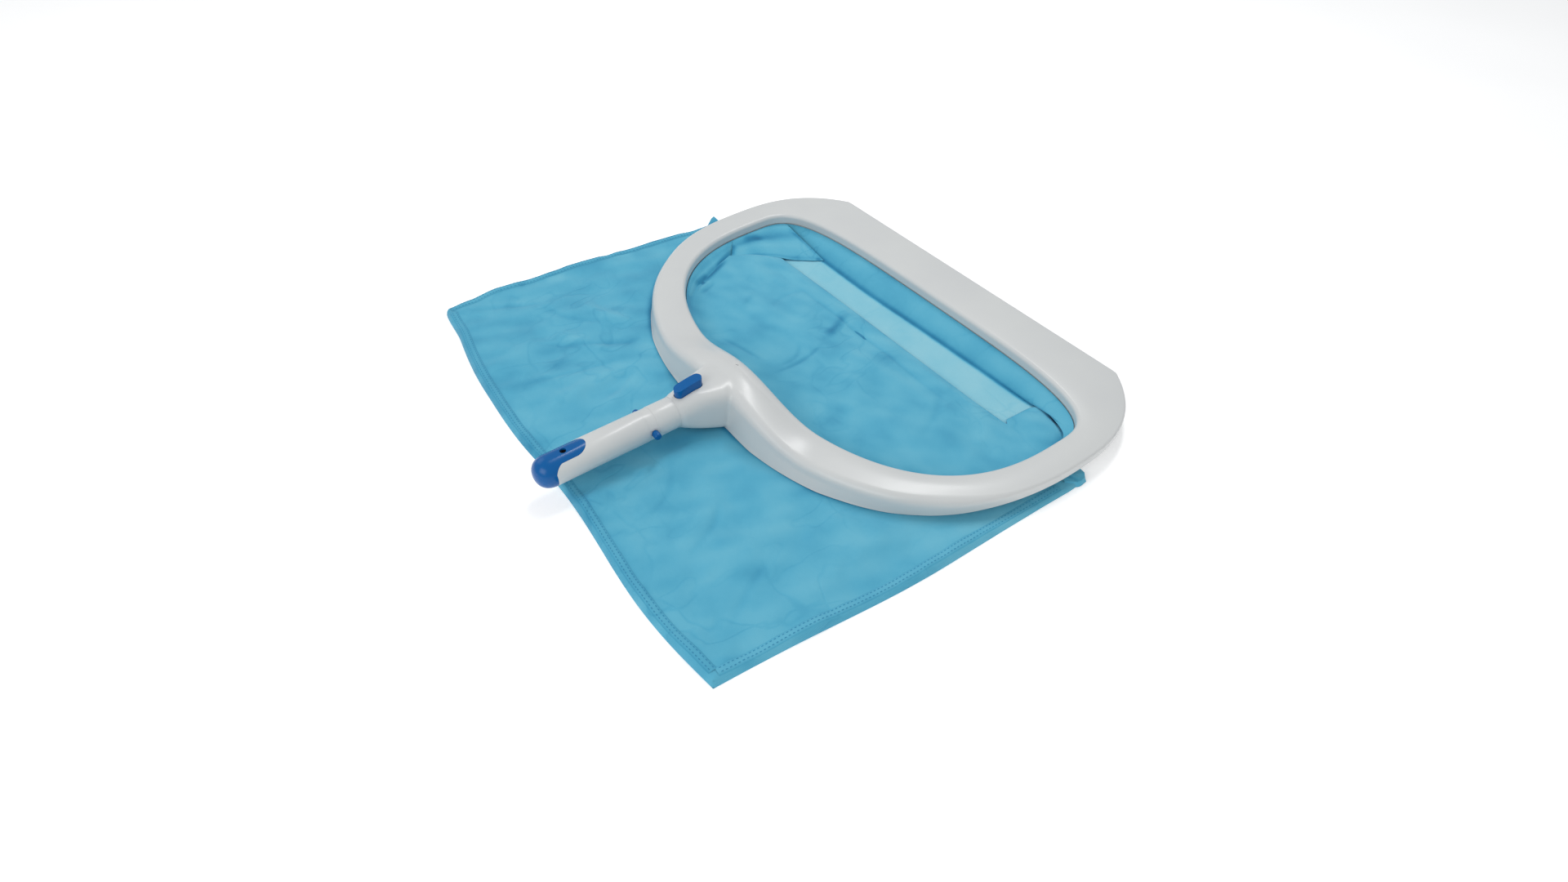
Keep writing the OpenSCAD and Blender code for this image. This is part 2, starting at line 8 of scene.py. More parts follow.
import bmesh
import bpy
import numpy as np
from mathutils import Matrix, Vector
from mathutils.bvhtree import BVHTree
from mathutils.kdtree import KDTree


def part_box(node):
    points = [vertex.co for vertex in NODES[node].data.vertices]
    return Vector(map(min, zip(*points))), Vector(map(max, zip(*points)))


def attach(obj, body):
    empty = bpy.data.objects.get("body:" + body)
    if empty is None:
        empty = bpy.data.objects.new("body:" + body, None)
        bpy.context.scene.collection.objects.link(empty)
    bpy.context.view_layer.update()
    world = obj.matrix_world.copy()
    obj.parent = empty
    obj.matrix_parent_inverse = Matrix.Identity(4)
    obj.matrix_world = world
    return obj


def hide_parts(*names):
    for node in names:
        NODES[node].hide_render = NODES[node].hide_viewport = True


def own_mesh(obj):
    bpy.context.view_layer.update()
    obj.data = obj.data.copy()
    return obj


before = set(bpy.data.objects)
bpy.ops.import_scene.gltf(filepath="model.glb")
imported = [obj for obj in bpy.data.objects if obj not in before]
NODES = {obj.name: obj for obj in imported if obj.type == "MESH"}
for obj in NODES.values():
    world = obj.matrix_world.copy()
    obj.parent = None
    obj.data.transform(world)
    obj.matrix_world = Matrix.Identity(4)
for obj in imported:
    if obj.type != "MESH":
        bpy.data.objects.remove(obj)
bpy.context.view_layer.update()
MM = 0.001

# ---------- driving sizes, as in the part's source ----------

MOUTH_HALF_W, MOUTH_Y, MOUTH_FRONT, MOUTH_BACK = 218.5, 298.0, 63.5, 160.5
FRAME_HALF_W, FRAME_BACK, OUTSIDE_FRONT, LIP_Y = 248.5, 200.0, 150.0, 413.0
FRAME_H, LIP_T, WALL, DOME_H, DOME_HALF_W = 19.5, 5.0, 2.6, 24.0, 95.0
RIM_Z = -6.5
FOOT_Z = RIM_Z - FRAME_H
INNER_WALL_H, GROUND_GAP = 10.0, 3.5
INNER_FOOT_Z = RIM_Z - INNER_WALL_H
GROUND_Z = FOOT_Z - GROUND_GAP
SHANK_R = 14.2
YOKE_Y0, YOKE_Y1, YOKE_END = 56.0, 98.6, 119.0
CLAMP_SCREWS, CLAMP_SCREW_OFF, BOSS_D, PILOT_R, PILOT_DEPTH = 12, 11.5, 8.4, 1.55, 6.6
LIP_RIBS, RIB_PITCH, RIB_T = 9, 44.0, 1.8
BUTTON_Y, BUTTON_L, BUTTON_W, BUTTON_PLAY = 73.2, 27.0, 9.8, 0.7
# The outer wall by the angle in degrees round the mouth's centre: how far its foot leans out,
# in where negative, and how far below the rim its lower edge is
FOOT_LINE = [
    (-90, 2.5, 18.5),
    (-83, 2.5, 18.5),
    (-74, 5.25, 18.5),
    (-67, 5.25, 18.5),
    (-55, 4.75, 18.5),
    (-50, 3, 18.5),
    (-45, 2, 18.5),
    (-40, 0.8, 18.5),
    (-36, -0.8, 18),
    (-32, -2.6, 16.8),
    (-27, -4.8, 14.7),
    (-22, -7, 12),
    (-18, -8.5, 10.4),
    (-14, -9.6, 9.2),
    (-9, -10, 8.4),
    (0, -9.8, 8),
    (14, -5, 7.2),
    (26, 0, 5.6),
    (40, 0, 4.2),
    (90, 0, 4.2),
]
# The bag laid flat: rear left, rear right, front right and front left corner
BAG_CORNERS = np.array([[-293, -34], [230, -58], [253, 301.5], [-284, 285]], float)
REAR, RIGHT, FRONT, LEFT = range(4)  # the bag's sides, each from its own corner to the next
# How far in the left side lies besides its waves, by the share of its length from the front corner
LEFT_EDGE = [
    (0, 0),
    (0.012, 2.5),
    (0.045, 11.5),
    (0.11, 11.2),
    (0.15, 9.2),
    (0.2, 6.5),
    (0.26, 5),
    (0.34, 5),
    (0.4, 2.2),
    (0.46, 1.4),
    (0.54, 2.4),
    (0.6, 4),
    (0.7, 5),
    (0.77, 4.4),
    (0.82, 0.8),
    (0.9, -0.4),
    (0.955, -3),
    (0.985, -4.5),
    (1, 0),
]
# Each side's sine waves inward, of one, two, three and four half waves
BAG_WAVES = np.array([[-14, -3.9, -5, 1.5], [-4.8, -0.2, 1.3, 0], [0, 0, 0, 0], [-6.5, 5.8, -1.9, 0]])


# ---------- arithmetic ----------


def smooth(x):
    t = np.clip(x, 0, 1)
    return t * t * (3 - 2 * t)


def mix(a, b, t):
    return a + (b - a) * t


def fan(radius, centre, angle):
    """Points at these distances and angles round a centre in plan."""
    return np.stack([centre[0] + radius * np.cos(angle), centre[1] + radius * np.sin(angle)], -1)


# ---------- outlines in plan ----------


def reach(a, w, front, back, nf, nb):
    """Distance at these angles to a superellipse with its own depth and exponent in front and behind."""
    s = np.sin(a)
    n = np.where(s >= 0, nf, nb)
    deep = np.where(s >= 0, front, back)
    return (np.abs(np.cos(a) / w) ** n + np.abs(s / deep) ** n) ** (-1 / n)


def mouth_reach(a):
    return reach(a, MOUTH_HALF_W, MOUTH_FRONT, MOUTH_BACK, 3.75, 2.58)


def outside_reach(a):
    s = np.sin(a)
    r = reach(a, FRAME_HALF_W, OUTSIDE_FRONT, FRAME_BACK, 2.6, 2.4)
    return np.where(s > 0, np.minimum(r, (LIP_Y - MOUTH_Y) / np.maximum(s, 1e-6)), r)


def angle_at(t):
    """Angle round the mouth's centre for a station in degrees, spaced as along a flat ellipse."""
    s, c = np.sin(np.radians(t)), np.cos(np.radians(t))
    return np.arctan2(np.where(s > 0, 0.35, 0.75) * s, c)


def mouth_at(t):
    a = angle_at(np.asarray(t, float))
    return fan(mouth_reach(a), (0, MOUTH_Y), a)


def outside_at(t):
    a = angle_at(np.asarray(t, float))
    return fan(outside_reach(a), (0, MOUTH_Y), a)


def normal_at(f, t):
    d = f(np.asarray(t, float) + 0.4) - f(np.asarray(t, float) - 0.4)
    n = np.stack([d[..., 1], -d[..., 0]], -1)
    return n / np.linalg.norm(n, axis=-1, keepdims=True)


def moved(f, t, d):
    """Points of an outline moved outward by this distance."""
    return f(t) + np.asarray(d)[..., None] * normal_at(f, t)


def polar(p):
    """Angle and distance of plan points from the mouth's centre."""
    x, y = p[..., 0], p[..., 1] - MOUTH_Y
    return np.arctan2(y, x), np.hypot(x, y)


def bag_side(i, t):
    """Plan points of one side of the bag, at these shares of its length."""
    a, b = BAG_CORNERS[i], BAG_CORNERS[(i + 1) % 4]
    d = b - a
    n = np.array([-d[1], d[0]]) / np.linalg.norm(d)
    t = np.asarray(t, float)
    wave = sum(w * np.sin(math.pi * k * t) for k, w in enumerate(BAG_WAVES[i], 1))
    if i == LEFT:
        wave = wave + np.interp(t, *zip(*LEFT_EDGE))
    if i == REAR:
        wave = wave + 5 * smooth(t / 0.1) * smooth((0.46 - t) / 0.2)
    if i == RIGHT:
        wave = wave - 1.2 * smooth((t - 0.6) / 0.25) * smooth((1 - t) / 0.06)
    return a + t[..., None] * d + wave[..., None] * n


def spline(points, n):
    """n points along a Catmull-Rom curve through these points, evenly spaced."""
    p = np.array(points, float)
    p = np.vstack([2 * p[0] - p[1], p, 2 * p[-1] - p[-2]])
    u = np.linspace(0, 1, 24, endpoint=False)[:, None]
    out = []
    for a, b, c, d in zip(p, p[1:], p[2:], p[3:]):
        out.append(b + 0.5 * u * (c - a + u * (2 * a - 5 * b + 4 * c - d + u * (3 * (b - c) + d - a))))
    line = np.vstack([*out, p[-2][None]])
    length = np.concatenate([[0], np.cumsum(np.linalg.norm(np.diff(line, axis=0), axis=1))])
    want = np.linspace(0, length[-1], n)
    return np.stack([np.interp(want, length, line[:, k]) for k in range(line.shape[1])], -1)


def stroke(p, path, width):
    """1 on a line drawn through plan points, falling to 0 at about twice its half width and at its ends."""
    fade = 0.35
    line = spline(path, 40)
    best = np.full(p.shape[:-1], 1e9)
    along = np.zeros(p.shape[:-1])
    for i, (a, b) in enumerate(zip(line, line[1:])):
        d = b - a
        u = np.clip(((p - a) @ d) / (d @ d), 0, 1)
        q = np.linalg.norm(p - a - u[..., None] * d, axis=-1)
        along = np.where(q < best, (i + u) / (len(line) - 1), along)
        best = np.minimum(best, q)
    return np.exp(-((best / width) ** 2)) * smooth(along / fade) * smooth((1 - along) / fade)


def ripples(p, wavelength, seed, stretch=(1.0, 1.0), turn=0.0):
    """A smooth random field of about -1 to 1 with this wavelength, longer along one way where stretched."""
    directions = 7
    rng = np.random.default_rng(seed)
    c, s = math.cos(math.radians(turn)), math.sin(math.radians(turn))
    x, y = p[..., 0], p[..., 1]
    q = np.stack([(x * c + y * s) / stretch[0], (y * c - x * s) / stretch[1]], -1)
    total = np.zeros(p.shape[:-1])
    for k in range(directions):
        a = math.pi * (k + rng.random()) / directions
        w = wavelength * rng.uniform(0.7, 1.4)
        phase = rng.uniform(0, 2 * math.pi)
        ahead, aside = q @ np.array([math.cos(a), math.sin(a)]), q @ np.array([-math.sin(a), math.cos(a)])
        bend = 0.8 * np.sin(aside * 2 * math.pi / (w * 1.7) + 2 * phase)
        total += np.sin(ahead * 2 * math.pi / w + phase + bend)
    return total / math.sqrt(directions * 1.4)


# ---------- meshes ----------


def mesh_object(name, points, faces, material=None, tone=None):
    """A smooth mesh object from points in millimetres, with each point's tone where the cloth reads one."""
    mesh = bpy.data.meshes.new(name)
    mesh.from_pydata((np.asarray(points, float).reshape(-1, 3) * MM).tolist(), [], faces)
    if tone is not None:
        values = mesh.attributes.new("tone", "FLOAT", "POINT").data
        values.foreach_set("value", np.ravel(tone).astype(np.float32))
    mesh.shade_smooth()
    obj = bpy.data.objects.new(name, mesh)
    bpy.context.scene.collection.objects.link(obj)
    if material:
        mesh.materials.append(material)
    return obj


def lattice(rows, cols, close_rows=False, close_cols=False):
    """Faces of a grid of points, row by row."""
    r, c = np.meshgrid(np.arange(rows - (not close_rows)), np.arange(cols - (not close_cols)), indexing="ij")
    r1, c1 = (r + 1) % rows, (c + 1) % cols
    quads = np.stack([r * cols + c, r * cols + c1, r1 * cols + c1, r1 * cols + c], -1)
    return quads.reshape(-1, 4).tolist()


def outward(obj):
    """Turns every face's front outward."""
    bm = bmesh.new()
    bm.from_mesh(obj.data)
    bmesh.ops.recalc_face_normals(bm, faces=bm.faces)
    bm.to_mesh(obj.data)
    bm.free()


def sharpen(obj, degrees):
    obj.data.shade_smooth()
    obj.data.set_sharp_from_angle(angle=math.radians(degrees))


def apply_modifiers(obj):
    dg = bpy.context.evaluated_depsgraph_get()
    mesh = bpy.data.meshes.new_from_object(obj.evaluated_get(dg))
    obj.modifiers.clear()
    obj.data = mesh


def combine(obj, other, operation):
    """Applies a boolean with another solid, which is then removed."""
    m = obj.modifiers.new(operation, "BOOLEAN")
    m.operation, m.object, m.solver = operation, other, "MANIFOLD"
    bpy.context.view_layer.update()
    apply_modifiers(obj)
    bpy.data.objects.remove(other)


def block(name, low, high):
    """A box from its lowest to its highest corner."""
    x, y, z = zip(low, high)
    points = [(i, j, k) for i in x for j in y for k in z]
    faces = [[0, 1, 3, 2], [4, 6, 7, 5], [0, 4, 5, 1], [2, 3, 7, 6], [0, 2, 6, 4], [1, 5, 7, 3]]
    obj = mesh_object(name, points, faces)
    outward(obj)
    return obj


def prism(name, outline, z0, z1):
    """An upright solid of this outline in plan."""
    n = len(outline)
    points = [np.column_stack([outline, np.full(n, z)]) for z in (z0, z1)]
    faces = lattice(2, n, close_cols=True) + [list(range(n))[::-1], list(range(n, 2 * n))]
    obj = mesh_object(name, np.vstack(points), faces)
    outward(obj)
    return obj


def rod(name, centre, radius, z0, z1, sides=32):
    """An upright cylinder."""
    a = np.linspace(0, 2 * math.pi, sides, endpoint=False)
    return prism(name, fan(np.full(sides, radius), centre, a), z0, z1)


def lying_rod(name, radius, y0, y1):
    """A cylinder on the handle's axis."""
    sides = 96
    a = np.linspace(0, 2 * math.pi, sides, endpoint=False)
    points = [np.column_stack([radius * np.cos(a), np.full(sides, y), radius * np.sin(a)]) for y in (y0, y1)]
    caps = [list(range(sides)), list(range(sides, 2 * sides))]
    obj = mesh_object(name, np.vstack(points), lattice(2, sides, close_cols=True) + caps)
    outward(obj)
    return obj


# ---------- materials ----------


class Nodes:
    """Short names for building a node material."""

    def __init__(self, name):
        self.material = bpy.data.materials.new(name)
        self.material.use_nodes = True
        self.tree = self.material.node_tree
        self.shader = self.tree.nodes["Principled BSDF"]
        self.where = self.add("ShaderNodeTexCoord").outputs["Object"]

    def add(self, kind, inputs=None, **settings):
        node = self.tree.nodes.new(kind)
        for key, value in settings.items():
            setattr(node, key, value)
        for key, value in (inputs or {}).items():
            if isinstance(value, bpy.types.NodeSocket):
                self.tree.links.new(value, node.inputs[key])
            else:
                node.inputs[key].default_value = value
        return node

    def link(self, source, target):
        self.tree.links.new(source, self.shader.inputs[target])

    def scaled(self, x, y, z):
        return self.add("ShaderNodeMapping", {"Vector": self.where, "Scale": (x, y, z)}).outputs["Vector"]

    def noise(self, scale, detail, rough=0.5, vector=None):
        inputs = {"Vector": vector or self.where, "Scale": scale, "Detail": detail, "Roughness": rough}
        return self.add("ShaderNodeTexNoise", inputs).outputs["Fac"]

    def ramp(self, value, low, high, from_low=0.0, from_high=1.0):
        inputs = {"Value": value, "From Min": from_low, "From Max": from_high, "To Min": low, "To Max": high}
        return self.add("ShaderNodeMapRange", inputs).outputs["Result"]

    def calc(self, a, b, operation="ADD"):
        return self.add("ShaderNodeMath", {0: a, 1: b}, operation=operation).outputs["Value"]

    def colours(self, value, stops):
        node = self.add("ShaderNodeValToRGB", {"Fac": value})
        while len(node.color_ramp.elements) < len(stops):
            node.color_ramp.elements.new(0.5)
        for element, (place, colour) in zip(node.color_ramp.elements, stops):
            element.position, element.color = place, (*colour, 1)
        return node.outputs["Color"]

    def bump(self, height, distance, strength=1.0):
        node = self.add("ShaderNodeBump", {"Height": height, "Distance": distance, "Strength": strength})
        self.link(node.outputs["Normal"], "Normal")


def srgb(r, g, b):
    """A linear colour from the screen's 0 to 255."""
    c = np.array([r, g, b]) / 255
    return tuple(np.where(c <= 0.04045, c / 12.92, ((c + 0.055) / 1.055) ** 2.4))


def plastic(name, light, dark, roughness, coat, specular):
    """Satin moulded plastic: faint flow marks in the colour, fine handling marks in the roughness."""
    grain, ior, coat_roughness = 0.000002, 1.46, 0.16
    n = Nodes(name)
    clouds = n.noise(14, 4, 0.55)
    n.link(n.colours(clouds, [(0.3, dark), (0.7, light)]), "Base Color")
    scuffs = n.noise(160, 5, 0.7, n.scaled(1, 0.35, 1))
    n.link(n.ramp(scuffs, roughness * 0.96, roughness * 1.05, 0.35, 0.7), "Roughness")
    n.bump(n.noise(260, 2, 0.6), grain)
    n.shader.inputs["IOR"].default_value = ior
    n.shader.inputs["Specular IOR Level"].default_value = specular
    n.shader.inputs["Coat Weight"].default_value = coat
    n.shader.inputs["Coat Roughness"].default_value = coat_roughness
    return n.material


def metal(name, colour, roughness):
    """Metal with fine upright brush marks."""
    n = Nodes(name)
    brushed = n.noise(900, 3, 0.6, n.scaled(1, 1, 0.06))
    dark = tuple(0.75 * c for c in colour)
    n.link(n.colours(brushed, [(0.3, dark), (0.7, colour)]), "Base Color")
    n.link(n.ramp(brushed, roughness * 0.7, roughness * 1.3), "Roughness")
    n.bump(brushed, 0.00002)
    n.shader.inputs["Metallic"].default_value = 1
    return n.material


MESH_PITCH = 0.0011  # metres from thread to thread


def mesh_cloth(name, tints, roughness=0.75, weave=1.0):
    """Fine woven mesh: two crossing sets of threads, with a colour that follows how many layers lie there and
    the light and shade painted into each point's tone.
    """
    relief, sheen, specular = 0.00012, 0.25, 0.35
    n = Nodes(name)
    x, y, z = n.add("ShaderNodeSeparateXYZ", {"Vector": n.where}).outputs
    wave = 2 * math.pi / MESH_PITCH
    warp = n.calc(n.calc(x, wave, "MULTIPLY"), 0, "SINE")
    weft = n.calc(n.calc(n.calc(y, z, "ADD"), wave, "MULTIPLY"), 0, "SINE")
    threads = n.calc(n.calc(warp, 0, "ABSOLUTE"), n.calc(weft, 0, "ABSOLUTE"), "MAXIMUM")
    tone = n.add("ShaderNodeAttribute", attribute_name="tone").outputs["Fac"]
    moire = n.ramp(n.noise(26, 5, 0.6), -0.05, 0.05, 0.3, 0.7)
    blotch = n.ramp(n.noise(9, 3, 0.5), -0.03, 0.03, 0.3, 0.7)
    across = n.calc(n.calc(n.noise(15, 2.5, 0.5, n.scaled(0.55, 1, 1)), -0.5), 0, "ABSOLUTE")
    along = n.calc(n.calc(n.noise(21, 2.5, 0.5, n.scaled(1, 0.45, 1)), -0.5), 0, "ABSOLUTE")
    shown = n.ramp(n.noise(7, 2), 0, 1, 0.4, 0.62)
    crinkles = n.calc(n.ramp(n.calc(across, along, "MINIMUM"), -1, 0, 0, 0.016), shown, "MULTIPLY")
    # Crinkle lines are bumped and also darkened a little, as painted shade in their folds.
    marks = n.calc(n.calc(moire, blotch), n.calc(crinkles, 0.07, "MULTIPLY"))
    total = n.calc(n.calc(tone, marks), n.ramp(threads, -0.06 * weave, 0.06 * weave, 0.4, 1.0))
    n.link(n.colours(total, tints), "Base Color")
    n.bump(n.calc(threads, n.calc(crinkles, 3, "MULTIPLY")), relief, 0.5)
    n.shader.inputs["Roughness"].default_value = roughness
    n.shader.inputs["Sheen Weight"].default_value = sheen
    n.shader.inputs["Sheen Roughness"].default_value = 0.4
    n.shader.inputs["Specular IOR Level"].default_value = specular
    return n.material


WHITE = plastic("white_plastic", srgb(211, 213, 212), srgb(207, 209, 209), 0.3, 0.1, 0.4)
BLUE = plastic("blue_plastic", srgb(0, 94, 162), srgb(0, 86, 152), 0.26, 0.08, 0.3)
BLACK_STEEL = metal("black_steel", srgb(34, 34, 38), 0.45)
STEEL = metal("steel", srgb(190, 192, 196), 0.3)
# Cloth tints from the painted shade of the deepest crease, through two layers at 0.5, to a single layer at 1
CLOTH_TINTS = [
    (0.0, srgb(12, 84, 126)),
    (0.25, srgb(38, 136, 176)),
    (0.5, srgb(84, 174, 204)),
    (0.75, srgb(116, 192, 214)),
    (1.0, srgb(150, 206, 220)),
]
NET = mesh_cloth("net", CLOTH_TINTS)
SEAM = mesh_cloth("seam_tape", CLOTH_TINTS, 0.7, 1.5)
THREAD = plastic("thread", srgb(60, 150, 188), srgb(46, 130, 170), 0.6, 0.0, 0.3)

# ---------- frame ----------

ARC = np.radians(np.linspace(0, 90, 8))
MOUTH_ROUND, MOUTH_ROUND_AT_DOME = 4, 10  # the second is added at the dome's middle
LIP_ROUND, ARM_ROUND, OUTER_ROUND_AT_DOME = 2.2, 9, 3
CROWN = 0.8
YOKE_TOP, YOKE_HALF_W = 17.9, 25.3
TUBE_SCREW_Y, TUBE_SCREW_HEAD_R, TUBE_SCREW_HEAD_Z, TUBE_PILOT_R = 68.0, 2.6, -16.4, 1.4
COVER_Y, COVER_Z, COVER_W, COVER_L, COVER_T = 87.75, -18.2, 24.0, 15.5, 2.0
COVER_SCREW_X, COVER_PILOT_R, COVER_PLAY = 9.4, 1.3, 0.2
SOCKET_END, CHAMBER_W, CHAMBER_L, CHAMBER_H = 76.4, 13.0, 20.3, 29.0
BELOW = -40.0  # under everything, where the cut of the cover's seat starts


def dome(p):
    """How far the hub's dome has risen at plan points of the mouth's outline, from 0 to 1."""
    x = p[..., 0]
    near = (p[..., 1] < MOUTH_Y) & (np.abs(x) < DOME_HALF_W)
    return np.where(near, np.cos(math.pi / 2 * x / DOME_HALF_W) ** 2, 0)


def frame_rings(n):
    """The moulding's sections: up the mouth's wall, over the top, down the outer wall and back inside."""
    t = -360 * np.arange(n) / n
    pi, po = mouth_at(t), outside_at(t)
    ni, no = normal_at(mouth_at, t), -normal_at(outside_at, t)
    angle = np.degrees(np.arctan2(po[:, 1] - MOUTH_Y, np.abs(po[:, 0])))
    places, leans, heights = zip(*FOOT_LINE)
    lean, edge = np.interp(angle, places, leans), RIM_Z - np.interp(angle, places, heights)
    out, step = np.maximum(lean, 0), np.maximum(-lean, 0)
    h = dome(pi)
    top = RIM_Z + DOME_H * h
    r_in = MOUTH_ROUND + MOUTH_ROUND_AT_DOME * h
    r_out = mix(LIP_ROUND, ARM_ROUND, smooth((RIM_Z - edge - 8) / 9)) + OUTER_ROUND_AT_DOME * h
    low = mix(FOOT_Z, edge - 0.8, smooth((angle - 2) / 20))
    roof = top - WALL
    rows = []

    def add(p, d, z):
        d = np.broadcast_to(np.asarray(d, float), (n,))
        rows.append(np.column_stack([p[0] + d[:, None] * p[1], np.broadcast_to(z, (n,))]))

    inner, outer = (pi, ni), (po, no)
    add(inner, 0.5, INNER_FOOT_Z)
    add(inner, 0, INNER_FOOT_Z + 0.5)
    for a in ARC:
        add(inner, r_in * (1 - math.cos(a)), top - r_in * (1 - math.sin(a)))
    start, end = pi + ni * r_in[:, None], po + no * r_out[:, None]
    for u in np.linspace(0, 1, 9)[1:-1]:
        rows.append(np.column_stack([mix(start, end, u), top + CROWN * 4 * u * (1 - u)]))
    for a in ARC[::-1]:
        add(outer, r_out * (1 - math.cos(a)), top - r_out * (1 - math.sin(a)))
    shoulder = top - r_out
    for u in np.linspace(0, 1, 6)[1:]:
        z = mix(shoulder, edge, u)
        add(outer, -out * (shoulder - z) / (shoulder - low), z)
    add(outer, 0.9 * step - out, edge - 0.25)
    add(outer, step - out, low + 0.45)
    add(outer, step - out + 0.15, low + 0.15)
    add(outer, step - out + 0.5, low)
    add(outer, step - out + WALL, low)
    add(outer, step + WALL * 1.1, np.minimum(shoulder, roof - 0.4))
    add(outer, step + r_out * 0.7 + WALL, roof)
    add(inner, r_in * 0.7 + WALL, roof)
    add(inner, WALL, top - r_in - 0.8)
    add(inner, WALL, INNER_FOOT_Z)
    return np.stack(rows, 1)


def yoke_rings(ys):
    """The yoke's sections, from the tube's round one to the hub's tall one, closing inside the hub."""
    sides = 96
    a = 2 * math.pi * np.arange(sides) / sides
    rings = []
    for y in ys:
        k = (min(y, YOKE_Y1) - YOKE_Y0) / (YOKE_Y1 - YOKE_Y0)
        flush = SHANK_R + mix(0.25, 1.2, float(smooth((y - YOKE_Y0) / 5)))
        top0 = mix(flush, YOKE_TOP, float(smooth((y - YOKE_Y0) / 24)))
        low = mix(-flush, FOOT_Z + 0.4, k**1.2)
        past = max(0.0, (y - YOKE_Y1) / (YOKE_END - YOKE_Y1))
        close = math.sqrt(max(0.02, 1 - past**2.5))
        w = mix(flush, YOKE_HALF_W, k**1.5) * mix(0.62, 1, close)
        top = mix(top0 - 4, top0, close)
        mid, h = (top + low) / 2, (top - low) / 2
        n_top = mix(2, 3.4, float(smooth((y - YOKE_Y0) / 36)))
        n_low = mix(2, 8, float(smooth((y - YOKE_Y0) / 30)))
        n = np.where(np.sin(a) < 0, n_low, n_top)
        r = (np.abs(np.cos(a)) ** n + np.abs(np.sin(a)) ** n) ** (-1 / n)
        rings.append(np.column_stack([w * r * np.cos(a), np.full(sides, y), mid + h * r * np.sin(a)]))
    return np.stack(rings)


def surface_tree(obj):
    mesh = obj.data
    return BVHTree.FromPolygons([v.co.copy() for v in mesh.vertices], [p.vertices[:] for p in mesh.polygons])


def blend_crease(obj, surfaces, radius, passes, edge):
    """Rounds the crease where two solids were joined: splits the faces near it finely, then relaxes them."""
    weld, touching, chamber_half_w, chamber_z = 0.12 * MM, 0.03 * MM, 17 * MM, -8 * MM
    finer, split_near = 1.2, 1.3  # shares of the radius, within which edges and faces are split

    def on_crease(co):
        return co.z > FOOT_Z * MM and max(t.find_nearest(co)[3] for t in surfaces) < touching

    bm = bmesh.new()
    bm.from_mesh(obj.data)
    bmesh.ops.remove_doubles(bm, verts=bm.verts, dist=weld)
    crease = [v.co.copy() for v in bm.verts if on_crease(v.co)]
    tree = KDTree(len(crease))
    for i, c in enumerate(crease):
        tree.insert(c, i)
    tree.balance()

    def far(v):
        return tree.find(v.co)[2] / (radius * MM)

    def nearest(item):
        return min(far(v) for v in item.verts)

    def to_split(face):
        corners = len(face.verts)
        return corners > 4 or (corners == 4 and far(face.verts[0]) < split_near)

    def under(co):
        return co.z < (FOOT_Z + 1) * MM or (abs(co.x) < chamber_half_w and co.z < chamber_z)

    bmesh.ops.triangulate(bm, faces=[f for f in bm.faces if nearest(f) < split_near or len(f.verts) > 4])
    for _ in range(4):
        long = [e for e in bm.edges if e.calc_length() > 1.5 * edge * MM and nearest(e) < finer]
        if not long:
            break
        bmesh.ops.subdivide_edges(bm, edges=long, cuts=1)
        bmesh.ops.triangulate(bm, faces=[f for f in bm.faces if to_split(f)])
    near = [v for v in bm.verts if far(v) < 1]
    weights = {v: float(smooth(1.15 * (1 - far(v)))) * (0 if under(v.co) else 1) for v in near}
    for _ in range(passes):
        places = [sum((e.other_vert(v).co for e in v.link_edges), Vector()) / len(v.link_edges) for v in near]
        for v, place in zip(near, places):
            v.co = v.co.lerp(place, 0.7 * weights[v])
    bm.to_mesh(obj.data)
    bm.free()


def oblong(length, width):
    """A slot's outline with round ends, along Y."""
    n = 24
    a = np.linspace(-math.pi / 2, math.pi / 2, n) + math.pi / 2
    end = fan(np.full(n, width / 2), (0, (length - width) / 2), a)
    return np.vstack([end, -end])


def make_frame():
    """The moulded frame with its yoke, screw bosses and lip ribs, and the lock's socket cut into it."""
    stations = 440
    rings = frame_rings(stations)
    shell = mesh_object("shell", rings, lattice(stations, rings.shape[1], True, True))
    outward(shell)
    ys = np.concatenate([np.linspace(YOKE_Y0, YOKE_Y1, 42), np.linspace(YOKE_Y1, YOKE_END, 16)[1:]])
    loft = yoke_rings(ys)
    sides = loft.shape[1]
    caps = [list(range(sides)), [(len(ys) - 1) * sides + k for k in range(sides)]]
    yoke = mesh_object("yoke", loft, lattice(len(ys), sides, False, True) + caps)
    outward(yoke)
    surfaces = surface_tree(shell), surface_tree(yoke)
    combine(shell, yoke, "UNION")
    for i in range(CLAMP_SCREWS):
        t = 360 * (i + 0.5) / CLAMP_SCREWS
        p = moved(mouth_at, t, CLAMP_SCREW_OFF)
        boss_top = RIM_Z + DOME_H * float(dome(mouth_at(t))) - WALL + 1
        pilot = rod("hole", p, PILOT_R, INNER_FOOT_Z - 1, INNER_FOOT_Z + PILOT_DEPTH, 20)
        combine(shell, rod("boss", p, BOSS_D / 2, INNER_FOOT_Z, boss_top), "UNION")
        combine(shell, pilot, "DIFFERENCE")
    y0, y1 = MOUTH_Y + MOUTH_FRONT + 1, LIP_Y - 1.5
    side = [
        (y0, INNER_FOOT_Z + 0.2),
        (y0, RIM_Z - WALL + 0.8),
        (y1, RIM_Z - WALL + 0.6),
        (y1, RIM_Z - LIP_T + 0.2),
    ]
    for i in range(LIP_RIBS):
        x = (i - (LIP_RIBS - 1) / 2) * RIB_PITCH
        points = [(x + s * RIB_T / 2, y, z) for s in (-1, 1) for y, z in side]
        rib = mesh_object("rib", points, lattice(2, 4, close_cols=True) + [[0, 1, 2, 3], [7, 6, 5, 4]])
        outward(rib)
        combine(shell, rib, "UNION")
    cut_socket(shell)
    blend_crease(shell, surfaces, radius=6, passes=12, edge=1.0)
    sharpen(shell, 32)
    shell.data.materials.clear()
    shell.data.materials.append(WHITE)
    shell.name = "frame_shell"
    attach(shell, "skimmer")
    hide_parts("frame")


